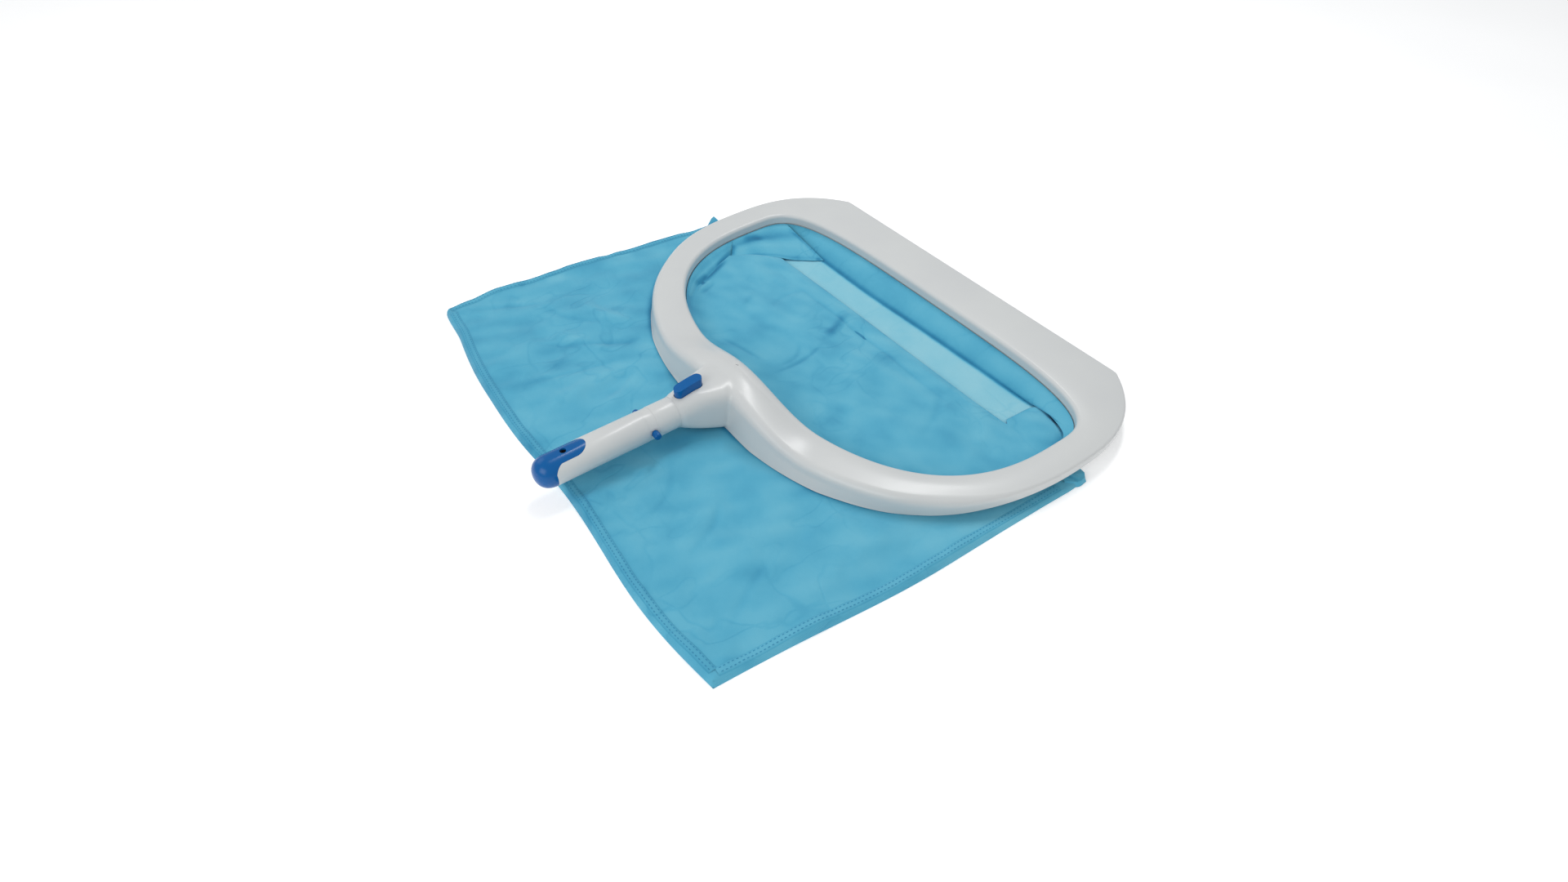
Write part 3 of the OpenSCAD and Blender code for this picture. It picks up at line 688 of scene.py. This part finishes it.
def cut_socket(shell):
    """Cuts the tube's socket, the lock's chamber, the button's slot, the cover's seat and the screw holes."""
    roof, y0 = COVER_Z + COVER_T, SOCKET_END - 1
    slot = oblong(BUTTON_L + BUTTON_PLAY, BUTTON_W + BUTTON_PLAY) + [0, BUTTON_Y]
    half_w, half_l = COVER_W / 2 + COVER_PLAY, COVER_L / 2 + COVER_PLAY
    cutters = [
        lying_rod("socket", SHANK_R + 0.05, YOKE_Y0 - 2, SOCKET_END),
        block("chamber", (-CHAMBER_W / 2, y0, roof), (CHAMBER_W / 2, y0 + CHAMBER_L, roof + CHAMBER_H)),
        prism("slot", slot, 8, 24),
        block("seat", (-half_w, COVER_Y - half_l, BELOW), (half_w, COVER_Y + half_l, roof)),
        rod("hole", (-COVER_SCREW_X, COVER_Y), COVER_PILOT_R, COVER_Z, COVER_Z + 10, 20),
        rod("hole", (COVER_SCREW_X, COVER_Y), COVER_PILOT_R, COVER_Z, COVER_Z + 10, 20),
        rod("hole", (0, TUBE_SCREW_Y), TUBE_SCREW_HEAD_R, -30, TUBE_SCREW_HEAD_Z, 24),
        rod("hole", (0, TUBE_SCREW_Y), TUBE_PILOT_R, -30, -10, 20),
    ]
    for cutter in cutters:
        combine(shell, cutter, "DIFFERENCE")


# ---------- other rigid pieces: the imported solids, with rounded edges and materials ----------


def dress(node, material, edge):
    """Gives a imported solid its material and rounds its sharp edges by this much."""
    obj = NODES[node]
    obj.data.materials.clear()
    obj.data.materials.append(material)
    obj.data.polygons.foreach_set("material_index", [0] * len(obj.data.polygons))
    if edge:
        weld = obj.modifiers.new("weld", "WELD")
        weld.merge_threshold = 0.00001
        bevel = obj.modifiers.new("edges", "BEVEL")
        bevel.width, bevel.segments = edge * MM, 3
        bevel.limit_method, bevel.angle_limit = "ANGLE", math.radians(38)
        bevel.harden_normals = False


make_frame()
for name, material, edge in [
    ("handle_tube", WHITE, 0.25),
    ("tube_screw", STEEL, 0.2),
    ("end_cap", BLUE, 0.5),
    ("end_cap_screw", BLACK_STEEL, 0.15),
    ("release_button", BLUE, 0.8),
    ("cam_slider", BLUE, 0.2),
    ("lock_guide", BLUE, 0),
    ("snap_pin_left", BLUE, 0.2),
    ("snap_pin_right", BLUE, 0.2),
    ("hub_cover", WHITE, 0.25),
    ("hub_cover_screws", STEEL, 0.2),
    ("clamp_ring", WHITE, 0),
    ("clamp_screws", STEEL, 0.2),
    ("bag_bead_cord", SEAM, 0),
]:
    dress(name, material, edge)


def coil(node, wire, turns, axis):
    """A wound steel spring where the node is."""
    per_turn, sides = 26, 10
    low, high = (np.array(c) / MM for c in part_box(node))
    length, radius = (high - low)[axis], (high - low)[(axis + 1) % 3] / 2 - wire
    t = np.linspace(0, 1, turns * per_turn + 1)
    a = 2 * math.pi * turns * t
    order = np.argsort([(axis + 1) % 3, (axis + 2) % 3, axis])
    spoke = np.stack([np.cos(a), np.sin(a), 0 * a], -1)
    rise = (length - 2 * wire) * (smooth(mix(0.06, 0.94, t)) - 0.5)
    path = radius * spoke + np.stack([0 * a, 0 * a, rise], -1)
    run = np.gradient(path, axis=0)
    run /= np.linalg.norm(run, axis=1, keepdims=True)
    side = np.cross(run, spoke)
    b = np.linspace(0, 2 * math.pi, sides, endpoint=False)
    rings = path[:, None] + wire * (np.cos(b)[:, None] * spoke[:, None] + np.sin(b)[:, None] * side[:, None])
    points = rings[..., order] + (low + high) / 2
    last = len(t) - 1
    caps = [list(range(sides)), [last * sides + k for k in range(sides)]]
    obj = mesh_object(node + "_coil", points, lattice(len(t), sides, close_cols=True) + caps, STEEL)
    outward(obj)
    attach(obj, "skimmer")
    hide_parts(node)
    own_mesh(obj)


coil("button_spring", 0.4, 5, 2)
coil("pin_spring", 0.35, 7, 0)

# ---------- bag ----------

CLOTH_LOW = GROUND_Z + 0.15
CLOTH_TOP = FOOT_Z - 0.35
EDGE_ROUND = 4.0
FOLD_Z = CLOTH_TOP + 0.9
BEAD_Z = INNER_FOOT_Z - 0.6
TAPE_IN, TAPE_W, STITCH_ROWS = 3.2, 7.5, (5.4, 9.0)


def frame_gap(p):
    """Distance of plan points outside the frame's outline."""
    a, r = polar(p)
    return r - outside_reach(a)


def coons(u, v):
    """Plan points of the bag laid flat, from its four sides."""
    s0, s1 = bag_side(REAR, u), bag_side(FRONT, 1 - u)
    t0, t1 = bag_side(LEFT, 1 - v), bag_side(RIGHT, v)
    a, b, c, d = BAG_CORNERS
    uu, vv = u[..., None], v[..., None]
    flat = (1 - uu) * (1 - vv) * a + uu * (1 - vv) * b + uu * vv * c + (1 - uu) * vv * d
    return (1 - vv) * s0 + vv * s1 + (1 - uu) * t0 + uu * t1 - flat


def bag_edge_gap(u, v):
    """Rough distance in from the bag's rear, left and right edges."""
    wide, deep = 525.0, 345.0
    return np.minimum(np.minimum(u, 1 - u) * wide, v * deep)


OUTER_LINES = [
    # plan points of a slow ridge or a crease, its half width, its height and its tone, which is painted light
    # on most ridges and painted shade in the creases
    ([(-102, 92), (-104, 30), (-92, -38)], 9, 2.2, 0.06),
    ([(-98, 96), (-78, 50), (-58, 8)], 6, 1.6, 0.05),
    ([(-150, 118), (-190, 92), (-232, 84)], 7, 2.0, 0.05),
    ([(-112, 100), (-150, 60), (-212, 34)], 8, 1.8, 0.05),
    ([(60, 60), (92, 30), (118, -22)], 10, 2.0, 0.05),
    ([(130, 96), (150, 40), (146, -20)], 12, 1.6, 0.04),
    ([(188, 160), (204, 90), (214, 10)], 12, 1.4, 0.04),
    ([(-60, 60), (-30, 20), (-20, -40)], 9, 1.5, 0.04),
    ([(-240, 60), (-262, 20), (-284, -24)], 4, -0.9, -0.08),
    ([(20, 40), (60, 10), (74, -30)], 3, -0.8, -0.06),
    ([(84, 50), (110, 22), (128, -16)], 3, -0.8, -0.06),
    ([(160, 60), (172, 20), (206, -34)], 3.5, -0.7, -0.05),
    ([(-170, 96), (-210, 58), (-258, 44)], 3.5, -0.8, -0.07),
    ([(-128, 104), (-160, 52), (-196, 6)], 3, -0.8, -0.07),
    ([(-118, 84), (-124, 40), (-140, -30)], 3, -0.7, -0.06),
    ([(216, -50), (222, -36), (234, -22)], 4, 1.2, -0.08),
]
# Paler patches along the left hem, painted as sheen on its wrinkles.
PALE_PATCHES = [
    ([(-286, 70), (-276, 96)], 8, 0, 0.14),
    ([(-280, 150), (-270, 176)], 7, 0, 0.12),
    ([(-268, 30), (-250, 38)], 6, 0, 0.1),
]


def strokes(p, table):
    """Height and tone that a table of lines adds to plan points, the tone being painted light and painted
    shade.
    """
    height, tone = np.zeros(p.shape[:-1]), np.zeros(p.shape[:-1])
    for path, width, rise, painted_light_and_shade in table:
        on = stroke(p, path, width)
        height += rise * on
        tone += painted_light_and_shade * on
    return height, tone


def make_upper():
    """The bag's upper layer: lumpy where it is free of the frame, bent down to the ground at its edges."""
    nu, nv = 300, 200
    u, v = np.meshgrid(np.linspace(0, 1, nu), np.linspace(0, 1, nv))
    p = coons(u, v)
    free = smooth(frame_gap(p) / 26)
    edge = bag_edge_gap(u, v)
    rise, painted_light_and_shade = strokes(p, OUTER_LINES + PALE_PATCHES)
    slow = 1.1 * ripples(p, 95, 3) + 0.7 * ripples(p, 42, 5, stretch=(1, 1.8), turn=-20)
    fine = 0.3 * ripples(p, 17, 7, stretch=(1, 1.6), turn=35)
    lift = free * (1.8 + slow + fine + rise)
    hem = 0.8 * np.exp(-(((edge - 5) / 3.5) ** 2)) * free
    z = CLOTH_TOP + np.maximum(lift, -0.2) + hem
    drop = np.clip(1 - edge / EDGE_ROUND, 0, 1)
    z = mix(z, CLOTH_LOW, 1 - np.sqrt(np.maximum(0, 1 - drop**2)))
    tone = 0.5 + painted_light_and_shade + 0.035 * ripples(p, 75, 11) + 0.035 * ripples(p, 24, 13, stretch=(1, 2.6), turn=-25)
    x, y = p[..., 0], p[..., 1]
    seam = 0.08 * np.exp(-((edge / 5) ** 2)) + 0.06 * np.exp(-(((edge - 9) / 3) ** 2))
    tone -= seam * (1 - 0.8 * smooth((x - 200) / 20))
    # Painted shadow of the frame on the cloth beside its outer wall, fading out toward the right end; painted
    # light at the right front, and slightly darker toward the far left.
    tone -= 0.3 * np.exp(-((np.maximum(frame_gap(p) - 2, 0) / 4) ** 2)) * smooth((190 - x) / 70)
    tone += 0.1 * smooth((x - 150) / 60) * smooth((y - 120) / 80) - 0.04 * smooth((-90 - x) / 60)
    return mesh_object("bag_upper", np.dstack([p, z]), lattice(nv, nu), NET, tone)


def make_lower():
    """The bag's lower layer, flat on the ground."""
    nu, nv = 132, 88
    u, v = np.meshgrid(np.linspace(0, 1, nu), np.linspace(0, 1, nv))
    p = coons(u, v)
    z = CLOTH_LOW - 0.05 + 0.04 * ripples(p, 40, 17)
    tone = 0.52 + 0.03 * ripples(p, 60, 19)
    return mesh_object("bag_lower", np.dstack([p, z]), lattice(nv, nu), NET, tone)


def make_band():
    """The hem of the bag's mouth: cloth from the clamp ring down the inside of the frame, all round."""
    nu, nv = 360, 14
    t = np.linspace(0, 360, nu, endpoint=False)
    rows, tones = [], []
    for v in np.linspace(0, 1, nv):
        p = moved(mouth_at, t, -0.4 - 1.8 * v**1.5)
        rows.append(np.column_stack([p, np.full(nu, mix(BEAD_Z + 0.2, CLOTH_LOW + 0.4, v))]))
        # Darker down to the ground: painted shade inside the frame's wall.
        tones.append(0.46 - 0.26 * v + 0.02 * ripples(p, 24, 59))
    faces = lattice(nv, nu, close_cols=True)
    return mesh_object("bag_mouth_hem", np.vstack(rows), faces, NET, np.concatenate(tones))


# Lines on the folded cloth inside the mouth, in plan at the cloth's height
FOLD_LINE = [
    (-203, 246),
    (-204, 264),
    (-190, 284),
    (-171, 298),
    (-151, 299.5),
    (-60, 300),
    (60, 299),
    (157, 299),
    (161, 306),
    (163, 333),
    (170, 340),
    (180, 339),
    (190, 336),
    (203, 334),
]
CREASE_LINE = [
    (-209, 333),
    (-185, 335),
    (-139, 334),
    (-60, 333),
    (0, 335),
    (100, 337),
    (153, 338),
    (165, 342),
    (178, 341),
    (190, 343),
    (203, 339),
]
# Ridges and creases on the pillow, with plan points, half width, height and tone as in OUTER_LINES; the tones
# are painted light on ridges and painted shade in creases, in the pockets of the left tuck and beside the
# right arm.
PILLOW_LINES = [
    ([(-48, 296), (-35, 268), (-23, 242)], 5.4, 1.6, -0.24),
    ([(-38, 292), (-26, 266), (-16, 244)], 5, 1.0, 0.06),
    ([(-24, 246), (-14, 214), (-13, 168)], 2.6, -0.9, -0.15),
    ([(-40, 226), (-22, 206), (-18, 176)], 2.4, -0.7, -0.1),
    ([(-26, 179), (-60, 172), (-96, 164)], 2.6, -0.6, -0.1),
    ([(-134, 240), (-124, 222), (-112, 202)], 4, 0.6, -0.07),
    ([(-180, 262), (-150, 268), (-118, 276)], 7, 0.9, 0.05),
    ([(-150, 278), (-40, 279), (60, 277), (150, 276)], 2.0, -0.5, -0.07),
    ([(40, 240), (70, 200), (110, 170)], 8, 1.0, 0.05),
    ([(-10, 250), (60, 262), (140, 268)], 7, 0.8, 0.05),
    ([(150, 296), (170, 260), (180, 220)], 7, 0.8, 0.04),
    ([(90, 290), (120, 256), (136, 214)], 4, -0.6, -0.07),
    ([(-100, 292), (-108, 258), (-96, 226)], 4, -0.6, -0.06),
    ([(-177, 194), (-184, 214), (-191, 232), (-200, 252)], 3.2, -0.3, -0.34),
    ([(-178, 199), (-180, 206)], 4.5, 0, -0.26),
    ([(-167, 186), (-172, 199), (-178, 214)], 1.9, 1.5, 0.12),
    ([(-163, 188), (-167, 202), (-173, 217)], 2.2, -0.4, -0.12),
    ([(176, 341), (186, 337), (199, 338)], 4.0, -0.8, -0.3),
    ([(206, 330), (210, 318), (212, 304)], 4.0, 0, -0.14),
]


def make_pillow():
    """The back of the bag: from the mouth's rear wall forward over the ground to its fold, and back under."""
    nu, nv = 300, 130
    wall = moved(mouth_at, np.linspace(205, 376, nu), -0.6)
    fold = spline(FOLD_LINE, nu)
    v = np.linspace(0, 1, nv)[:, None]
    p = mix(wall[None], fold[None], v[..., None])
    gap = np.linalg.norm(p - wall[None], axis=-1)
    left = np.linalg.norm(p - fold[None], axis=-1)
    rise, painted_light_and_shade = strokes(p, PILLOW_LINES)
    inside = smooth(gap / 24) * smooth(left / 12)
    slow = 1.0 * ripples(p, 80, 23) + 0.5 * ripples(p, 34, 29, stretch=(1.6, 1), turn=15)
    z = CLOTH_TOP + 0.3 + inside * np.maximum(0, 1.4 + slow) + rise * smooth(gap / 8)
    z += (BEAD_Z - CLOTH_TOP) * np.exp(-((gap / 4.5) ** 1.3))
    z -= 1.2 * np.clip(1 - left / 2.0, 0, 1) ** 2
    tone = 0.49 + painted_light_and_shade + 0.045 * ripples(p, 60, 31) + 0.03 * ripples(p, 22, 37, stretch=(1.5, 1), turn=20)
    tone += 0.04 * np.exp(-(((left - 11) / 9) ** 4))
    # Painted shade along the rear wall under the frame, and along the fold's edge.
    tone -= 0.12 * np.exp(-((gap / 9) ** 2)) + 0.06 * np.exp(-((left / 1.6) ** 2))
    under = []
    for depth in (0.5, 2, 6, 14):
        share = depth / np.maximum(np.linalg.norm(fold - wall, axis=1), 20)
        back_in = mix(fold, wall, share[:, None])
        under.append(np.column_stack([back_in, np.full(nu, CLOTH_LOW + (0.9 if depth < 1 else 0.45))]))
    points = np.vstack([np.dstack([p, z]).reshape(-1, 3), *under])
    # The cloth turned back under the fold is painted darker, as shade.
    tones = np.concatenate([tone.ravel(), np.full(4 * nu, 0.35)])
    return mesh_object("bag_back", points, lattice(nv + 4, nu), NET, tones)


def make_skirt():
    """The front of the bag: from the mouth's front wall down to a crease, then back under the fold."""
    nu = 300
    wall = moved(mouth_at, np.linspace(152, 7, nu), -0.6)
    crease = spline(CREASE_LINE, nu)
    hidden = np.column_stack([np.linspace(-200, 200, nu), np.full(nu, 284.0)])
    rows, tones = [], []
    span = np.linalg.norm(crease - wall, axis=1)
    for v in np.linspace(0, 1, 34):
        p = mix(wall, crease, v)
        arch = np.sin(math.pi * v)
        bulge = 1.6 * arch * np.clip(span / 20, 0, 1) + 0.4 * ripples(p, 45, 41, stretch=(2.2, 1)) * arch
        rows.append(np.column_stack([p, mix(BEAD_Z, CLOTH_LOW + 0.9, v**0.9) + bulge]))
        # Painted shade deepening down to the crease, and painted light on the crest of the bulge.
        shade = 0.47 - 0.12 * v**1.5 - 0.2 * smooth((v - 0.82) / 0.18) + 0.05 * arch
        tones.append(shade + 0.035 * ripples(p, 40, 43, stretch=(2.2, 1)))
    for v in np.linspace(0, 1, 40)[1:]:
        p = mix(crease, hidden, v)
        gone = np.linalg.norm(p - crease, axis=1)
        crinkle = 0.12 * ripples(p, 26, 47, stretch=(0.6, 1.5), turn=25)
        rows.append(np.column_stack([p, CLOTH_LOW + 0.3 + 0.35 * np.exp(-gone / 3) + crinkle]))
        light = 0.87 + 0.05 * ripples(p, 55, 53, stretch=(1, 1.4), turn=40)
        # Painted shade along the crease, and deep painted shade past the band's ends where it goes under the
        # folds.
        light -= 0.8 * np.exp(-((gone / 2.4) ** 2))
        tones.append(mix(light, 0.12, smooth((np.abs(p[:, 0] + 1) - 163) / 5)))
    return mesh_object("bag_front", np.vstack(rows), lattice(len(rows), nu), NET, np.concatenate(tones))


def make_panel(name, span, foot, seed, folds, marks, end_z=FOLD_Z):
    """A pleat of cloth from the mouth's wall down to a fold at these plan points, turned under along it."""
    nu, nv, bulge, base = 130, 46, 0.8, 0.5
    foot_z = mix(FOLD_Z, end_z, smooth((np.linspace(0, 1, nu) - 0.45) / 0.25))
    top, line = moved(mouth_at, np.linspace(*span, nu), -0.5), spline(foot, nu)
    u, v = np.linspace(0, 1, nu)[None], np.linspace(0, 1, nv)[:, None]
    p = mix(top[None], line[None], v[..., None])
    bulge = (bulge + 0.5 * ripples(p, 34, seed, stretch=(1.6, 1))) * np.sin(math.pi * v)
    z = mix(BEAD_Z, foot_z, v**0.85) + bulge
    tone = base + 0.035 * ripples(p, 26, seed + 1)
    # A fold's tint is painted light where the fold rises and painted shade where it sinks; the marks are
    # lines of painted shade.
    for place, width, rise, painted_light_and_shade in folds:
        on = np.exp(-(((v - place) / width) ** 2)) * np.sin(math.pi * np.clip(u, 0.02, 0.98)) ** 0.5
        z, tone = z + rise * on, tone + painted_light_and_shade * on
    rise, painted_light_and_shade = strokes(p, marks)
    z, tone = z + rise, tone + painted_light_and_shade
    rows, tones = [np.dstack([p, z]).reshape(-1, 3)], [tone.ravel()]
    # The cloth turned under along the fold is painted darker, as shade.
    for depth, drop in ((0.3, 0.5), (1.5, 0.9), (5, 1.0)):
        share = depth / np.maximum(np.linalg.norm(line - top, axis=1), 12)
        back_in = mix(line, top, share[:, None])
        rows.append(np.column_stack([back_in, foot_z - drop]))
        tones.append(np.full(nu, 0.3))
    return mesh_object(name, np.vstack(rows), lattice(nv + 3, nu), NET, np.concatenate(tones))


def make_pleats():
    # The folds' tints and the marks below are painted light and shade: dark lines at the flap's foot and
    # lower border, and in the pockets of the side tuck.
    flap = make_panel(
        "bag_pleat_front",
        (190.5, 152.3),
        [(-199, 254), (-188, 275), (-176, 290), (-160, 307), (-147, 322), (-138, 334)],
        61,
        [(0.08, 0.06, 0.7, 0.1), (0.3, 0.11, -0.9, -0.2), (0.62, 0.14, 1.0, 0.1), (0.93, 0.05, 0, -0.16)],
        [
            ([(-213, 268), (-208, 262), (-200, 254)], 3.6, 0, -0.32),
            ([(-216, 276), (-212, 290), (-202, 303)], 5, 0, -0.2),
            ([(-146, 328), (-140, 333)], 3.4, 0, -0.22),
            ([(-208, 334), (-176, 334), (-140, 334)], 2.4, 0, -0.2),
        ],
        end_z=CLOTH_LOW + 1.5,
    )
    tuck = make_panel(
        "bag_pleat_side",
        (227, 189),
        [(-156, 172), (-168, 186), (-177, 196), (-183, 214), (-190, 232), (-201, 253), (-211, 267)],
        67,
        [(0.3, 0.16, 0.4, -0.06), (0.6, 0.12, 0.5, 0.06)],
        [
            ([(-180, 197), (-186, 214), (-194, 232), (-204, 254)], 2.6, 0, -0.16),
            ([(-176, 192), (-181, 203), (-187, 217)], 4.0, 0, -0.3),
            ([(-190, 226), (-199, 246), (-210, 264)], 4.2, 0, -0.28),
        ],
    )
    return flap, tuck


def make_corner(name, lines, levels, seed, marks):
    """A small folded corner of the bag from rows of plan points, lofted from the frame outward."""
    nu, nv = 50, 34
    rows = np.stack([spline(r, nu) for r in lines])
    v = np.linspace(0, len(rows) - 1, nv)
    i = np.minimum(v.astype(int), len(rows) - 2)
    w = (v - i)[:, None]
    p = mix(rows[i], rows[i + 1], w[..., None])
    level = mix(np.array(levels)[i], np.array(levels)[i + 1], v - i)[:, None]
    rise, painted_light_and_shade = strokes(p, marks)
    z = level + rise + 0.25 * ripples(p, 12, seed)
    tone = 0.52 + painted_light_and_shade + 0.03 * ripples(p, 10, seed + 1)
    return mesh_object(name, np.dstack([p, z]), lattice(nv, nu), NET, tone)


def edge_frame(side, t, inset):
    """Points along the bag's side, this far in, and the direction along it."""
    line = bag_side(side, t)
    d = np.gradient(line, axis=0)
    d /= np.linalg.norm(d, axis=1, keepdims=True)
    return line + np.stack([-d[:, 1], d[:, 0]], -1) * inset, d


def ribbon(name, side, t0, t1, tree, n=260, tone=0.43):
    """A seam's tape, laid on the cloth along one side of the bag."""
    rows, tones = [], []
    for a in np.linspace(0, 1, 7):
        p, _ = edge_frame(side, np.linspace(t0, t1, n), TAPE_IN + TAPE_W * a)
        rows.append(on_cloth(tree, p, 0.12 + 0.4 * math.sin(math.pi * a) ** 0.5))
        tones.append(np.full(n, tone - 0.12 * abs(2 * a - 1) ** 4))
    return mesh_object(name, np.vstack(rows), lattice(len(rows), n), SEAM, np.concatenate(tones))


def on_cloth(tree, p, lift):
    """Points this far over the cloth at plan points."""
    z = []
    for x, y in p:
        hit = tree.ray_cast(Vector((x * MM, y * MM, 0.1)), Vector((0, 0, -1)))[0]
        z.append(hit.z / MM if hit else CLOTH_TOP)
    return np.column_stack([p, np.array(z) + lift])


# A stitch's outline and its raised middle: shares of its half length and thickness, and heights
STITCH = [
    (-1, 0, -0.3),
    (-0.5, 1, 0),
    (0.5, 1, 0),
    (1, 0, -0.3),
    (0.5, -1, 0),
    (-0.5, -1, 0),
    (0, 0, 0.25),
]


def stitches(name, runs, tree):
    """Rows of small raised stitches along the bag's sides."""
    pitch, length, thick = 3.4, 2.4, 0.35
    points, faces = [], []
    for side, t0, t1, inset in runs:
        n = int(np.linalg.norm(bag_side(side, np.array([t1])) - bag_side(side, np.array([t0]))) / pitch)
        p, d = edge_frame(side, np.linspace(t0, t1, n), inset)
        top = on_cloth(tree, p, 0.62)
        for (x, y, z), (dx, dy) in zip(top, d):
            base = len(points)
            for along, across, up in STITCH:
                s, c = along * length / 2, across * thick
                points.append((x + s * dx - c * dy, y + s * dy + c * dx, z + up))
            faces += [[base + k, base + (k + 1) % 6, base + 6] for k in range(6)]
    return mesh_object(name, points, faces, THREAD)


upper, lower, band, back, front = make_upper(), make_lower(), make_band(), make_pillow(), make_skirt()
pleat_front, pleat_side = make_pleats()
corner = make_corner(
    "bag_corner_loop",
    [
        [(228, 286), (236, 299), (243, 307)],
        [(237, 286), (245, 298), (249, 305)],
        [(245, 285), (252, 294), (252.5, 302)],
        [(246, 284), (254, 293), (254, 303)],
    ],
    [CLOTH_TOP + 1.2, CLOTH_TOP + 2.6, CLOTH_TOP + 1.4, CLOTH_LOW],
    71,
    # a crease under the loop, darkened as painted shade
    [([(240, 290), (247, 293), (253, 296)], 1.8, -0.5, -0.16)],
)
upper_tree = surface_tree(upper)
side_tapes = [
    ribbon("bag_tape_right", RIGHT, 0.02, 0.93, upper_tree, tone=0.5),
    ribbon("bag_tape_left", LEFT, 0.07, 0.985, upper_tree),
]
rear_tape = ribbon("bag_tape_rear", REAR, 0.015, 0.985, upper_tree, n=330)
seams = [(REAR, 0.02, 0.98), (RIGHT, 0.03, 0.92), (LEFT, 0.08, 0.98)]
sewing = stitches("bag_stitches", [(*seam, inset) for seam in seams for inset in STITCH_ROWS], upper_tree)
pieces = [upper, lower, band, back, front, pleat_front, pleat_side, corner, *side_tapes, rear_tape, sewing]
for piece in pieces:
    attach(piece, "skimmer")
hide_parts("bag_upper_panel")
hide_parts("bag_lower_panel")
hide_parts("bag_mouth_band")
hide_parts("bag_side_seams")
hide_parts("bag_end_seam")

# ---------- floor, light and camera ----------


def softbox(name, place, size, power):
    """An area light at this place in metres, turned to the part's middle, with its power in watts."""
    data = bpy.data.lights.new(name, "AREA")
    data.shape, data.size, data.size_y = "RECTANGLE", size[0], size[1]
    data.energy = power
    obj = bpy.data.objects.new(name, data)
    turn = (LIT - Vector(place)).to_track_quat("-Z", "Y").to_matrix().to_4x4()
    obj.matrix_world = Matrix.Translation(place) @ turn
    bpy.context.scene.collection.objects.link(obj)


def make_floor():
    """A pale floor under the part, which glows a little so that it stays pale."""
    n = Nodes("floor")
    n.link(n.colours(n.noise(3, 2), [(0.3, (0.86, 0.86, 0.86)), (0.7, (0.9, 0.9, 0.9))]), "Base Color")
    n.shader.inputs["Roughness"].default_value = 0.9
    n.shader.inputs["Emission Color"].default_value = (1, 1, 1, 1)
    n.shader.inputs["Emission Strength"].default_value = FLOOR_GLOW
    half, z = 6000, GROUND_Z - 0.2
    corners = [(-half, -half, z), (half, -half, z), (half, half, z), (-half, half, z)]
    floor = mesh_object("floor", corners, [[0, 1, 2, 3]], n.material)


LIT, FLOOR_GLOW = Vector((0, 0.15, 0)), 0.34
make_floor()
softbox("key", (-0.35, 0.75, 1.45), (0.24, 0.9), 9)
softbox("fill", (0.5, -1.3, 1.0), (1.2, 0.9), 9)
softbox("rim", (-1.3, -0.4, 1.0), (0.9, 0.9), 2.5)
world = bpy.data.worlds.new("studio")
world.use_nodes = True
background = world.node_tree.nodes["Background"]
background.inputs["Color"].default_value = (0.96, 0.98, 1.0, 1)
background.inputs["Strength"].default_value = 0.5
scene = bpy.context.scene
scene.world = world
scene.view_settings.view_transform = "Standard"

# The camera as solved from the photograph's outlines
CAMERA_AT = Vector((0.54197, -0.23106, 0.54812))
CAMERA_RIGHT = Vector((0.60045, 0.79966, 0))
CAMERA_BACK = Vector((0.57634, -0.43276, 0.69321))
CAMERA_SENSOR, CAMERA_LENS = 36, 21.77
camera_data = bpy.data.cameras.new("camera")
camera_data.sensor_width, camera_data.lens = CAMERA_SENSOR, CAMERA_LENS
camera_data.clip_start, camera_data.clip_end = 0.01, 50
camera = bpy.data.objects.new("camera", camera_data)
turn = Matrix((CAMERA_RIGHT, CAMERA_BACK.cross(CAMERA_RIGHT), CAMERA_BACK)).transposed().to_4x4()
camera.matrix_world = Matrix.Translation(CAMERA_AT) @ turn
scene.collection.objects.link(camera)
scene.camera = camera
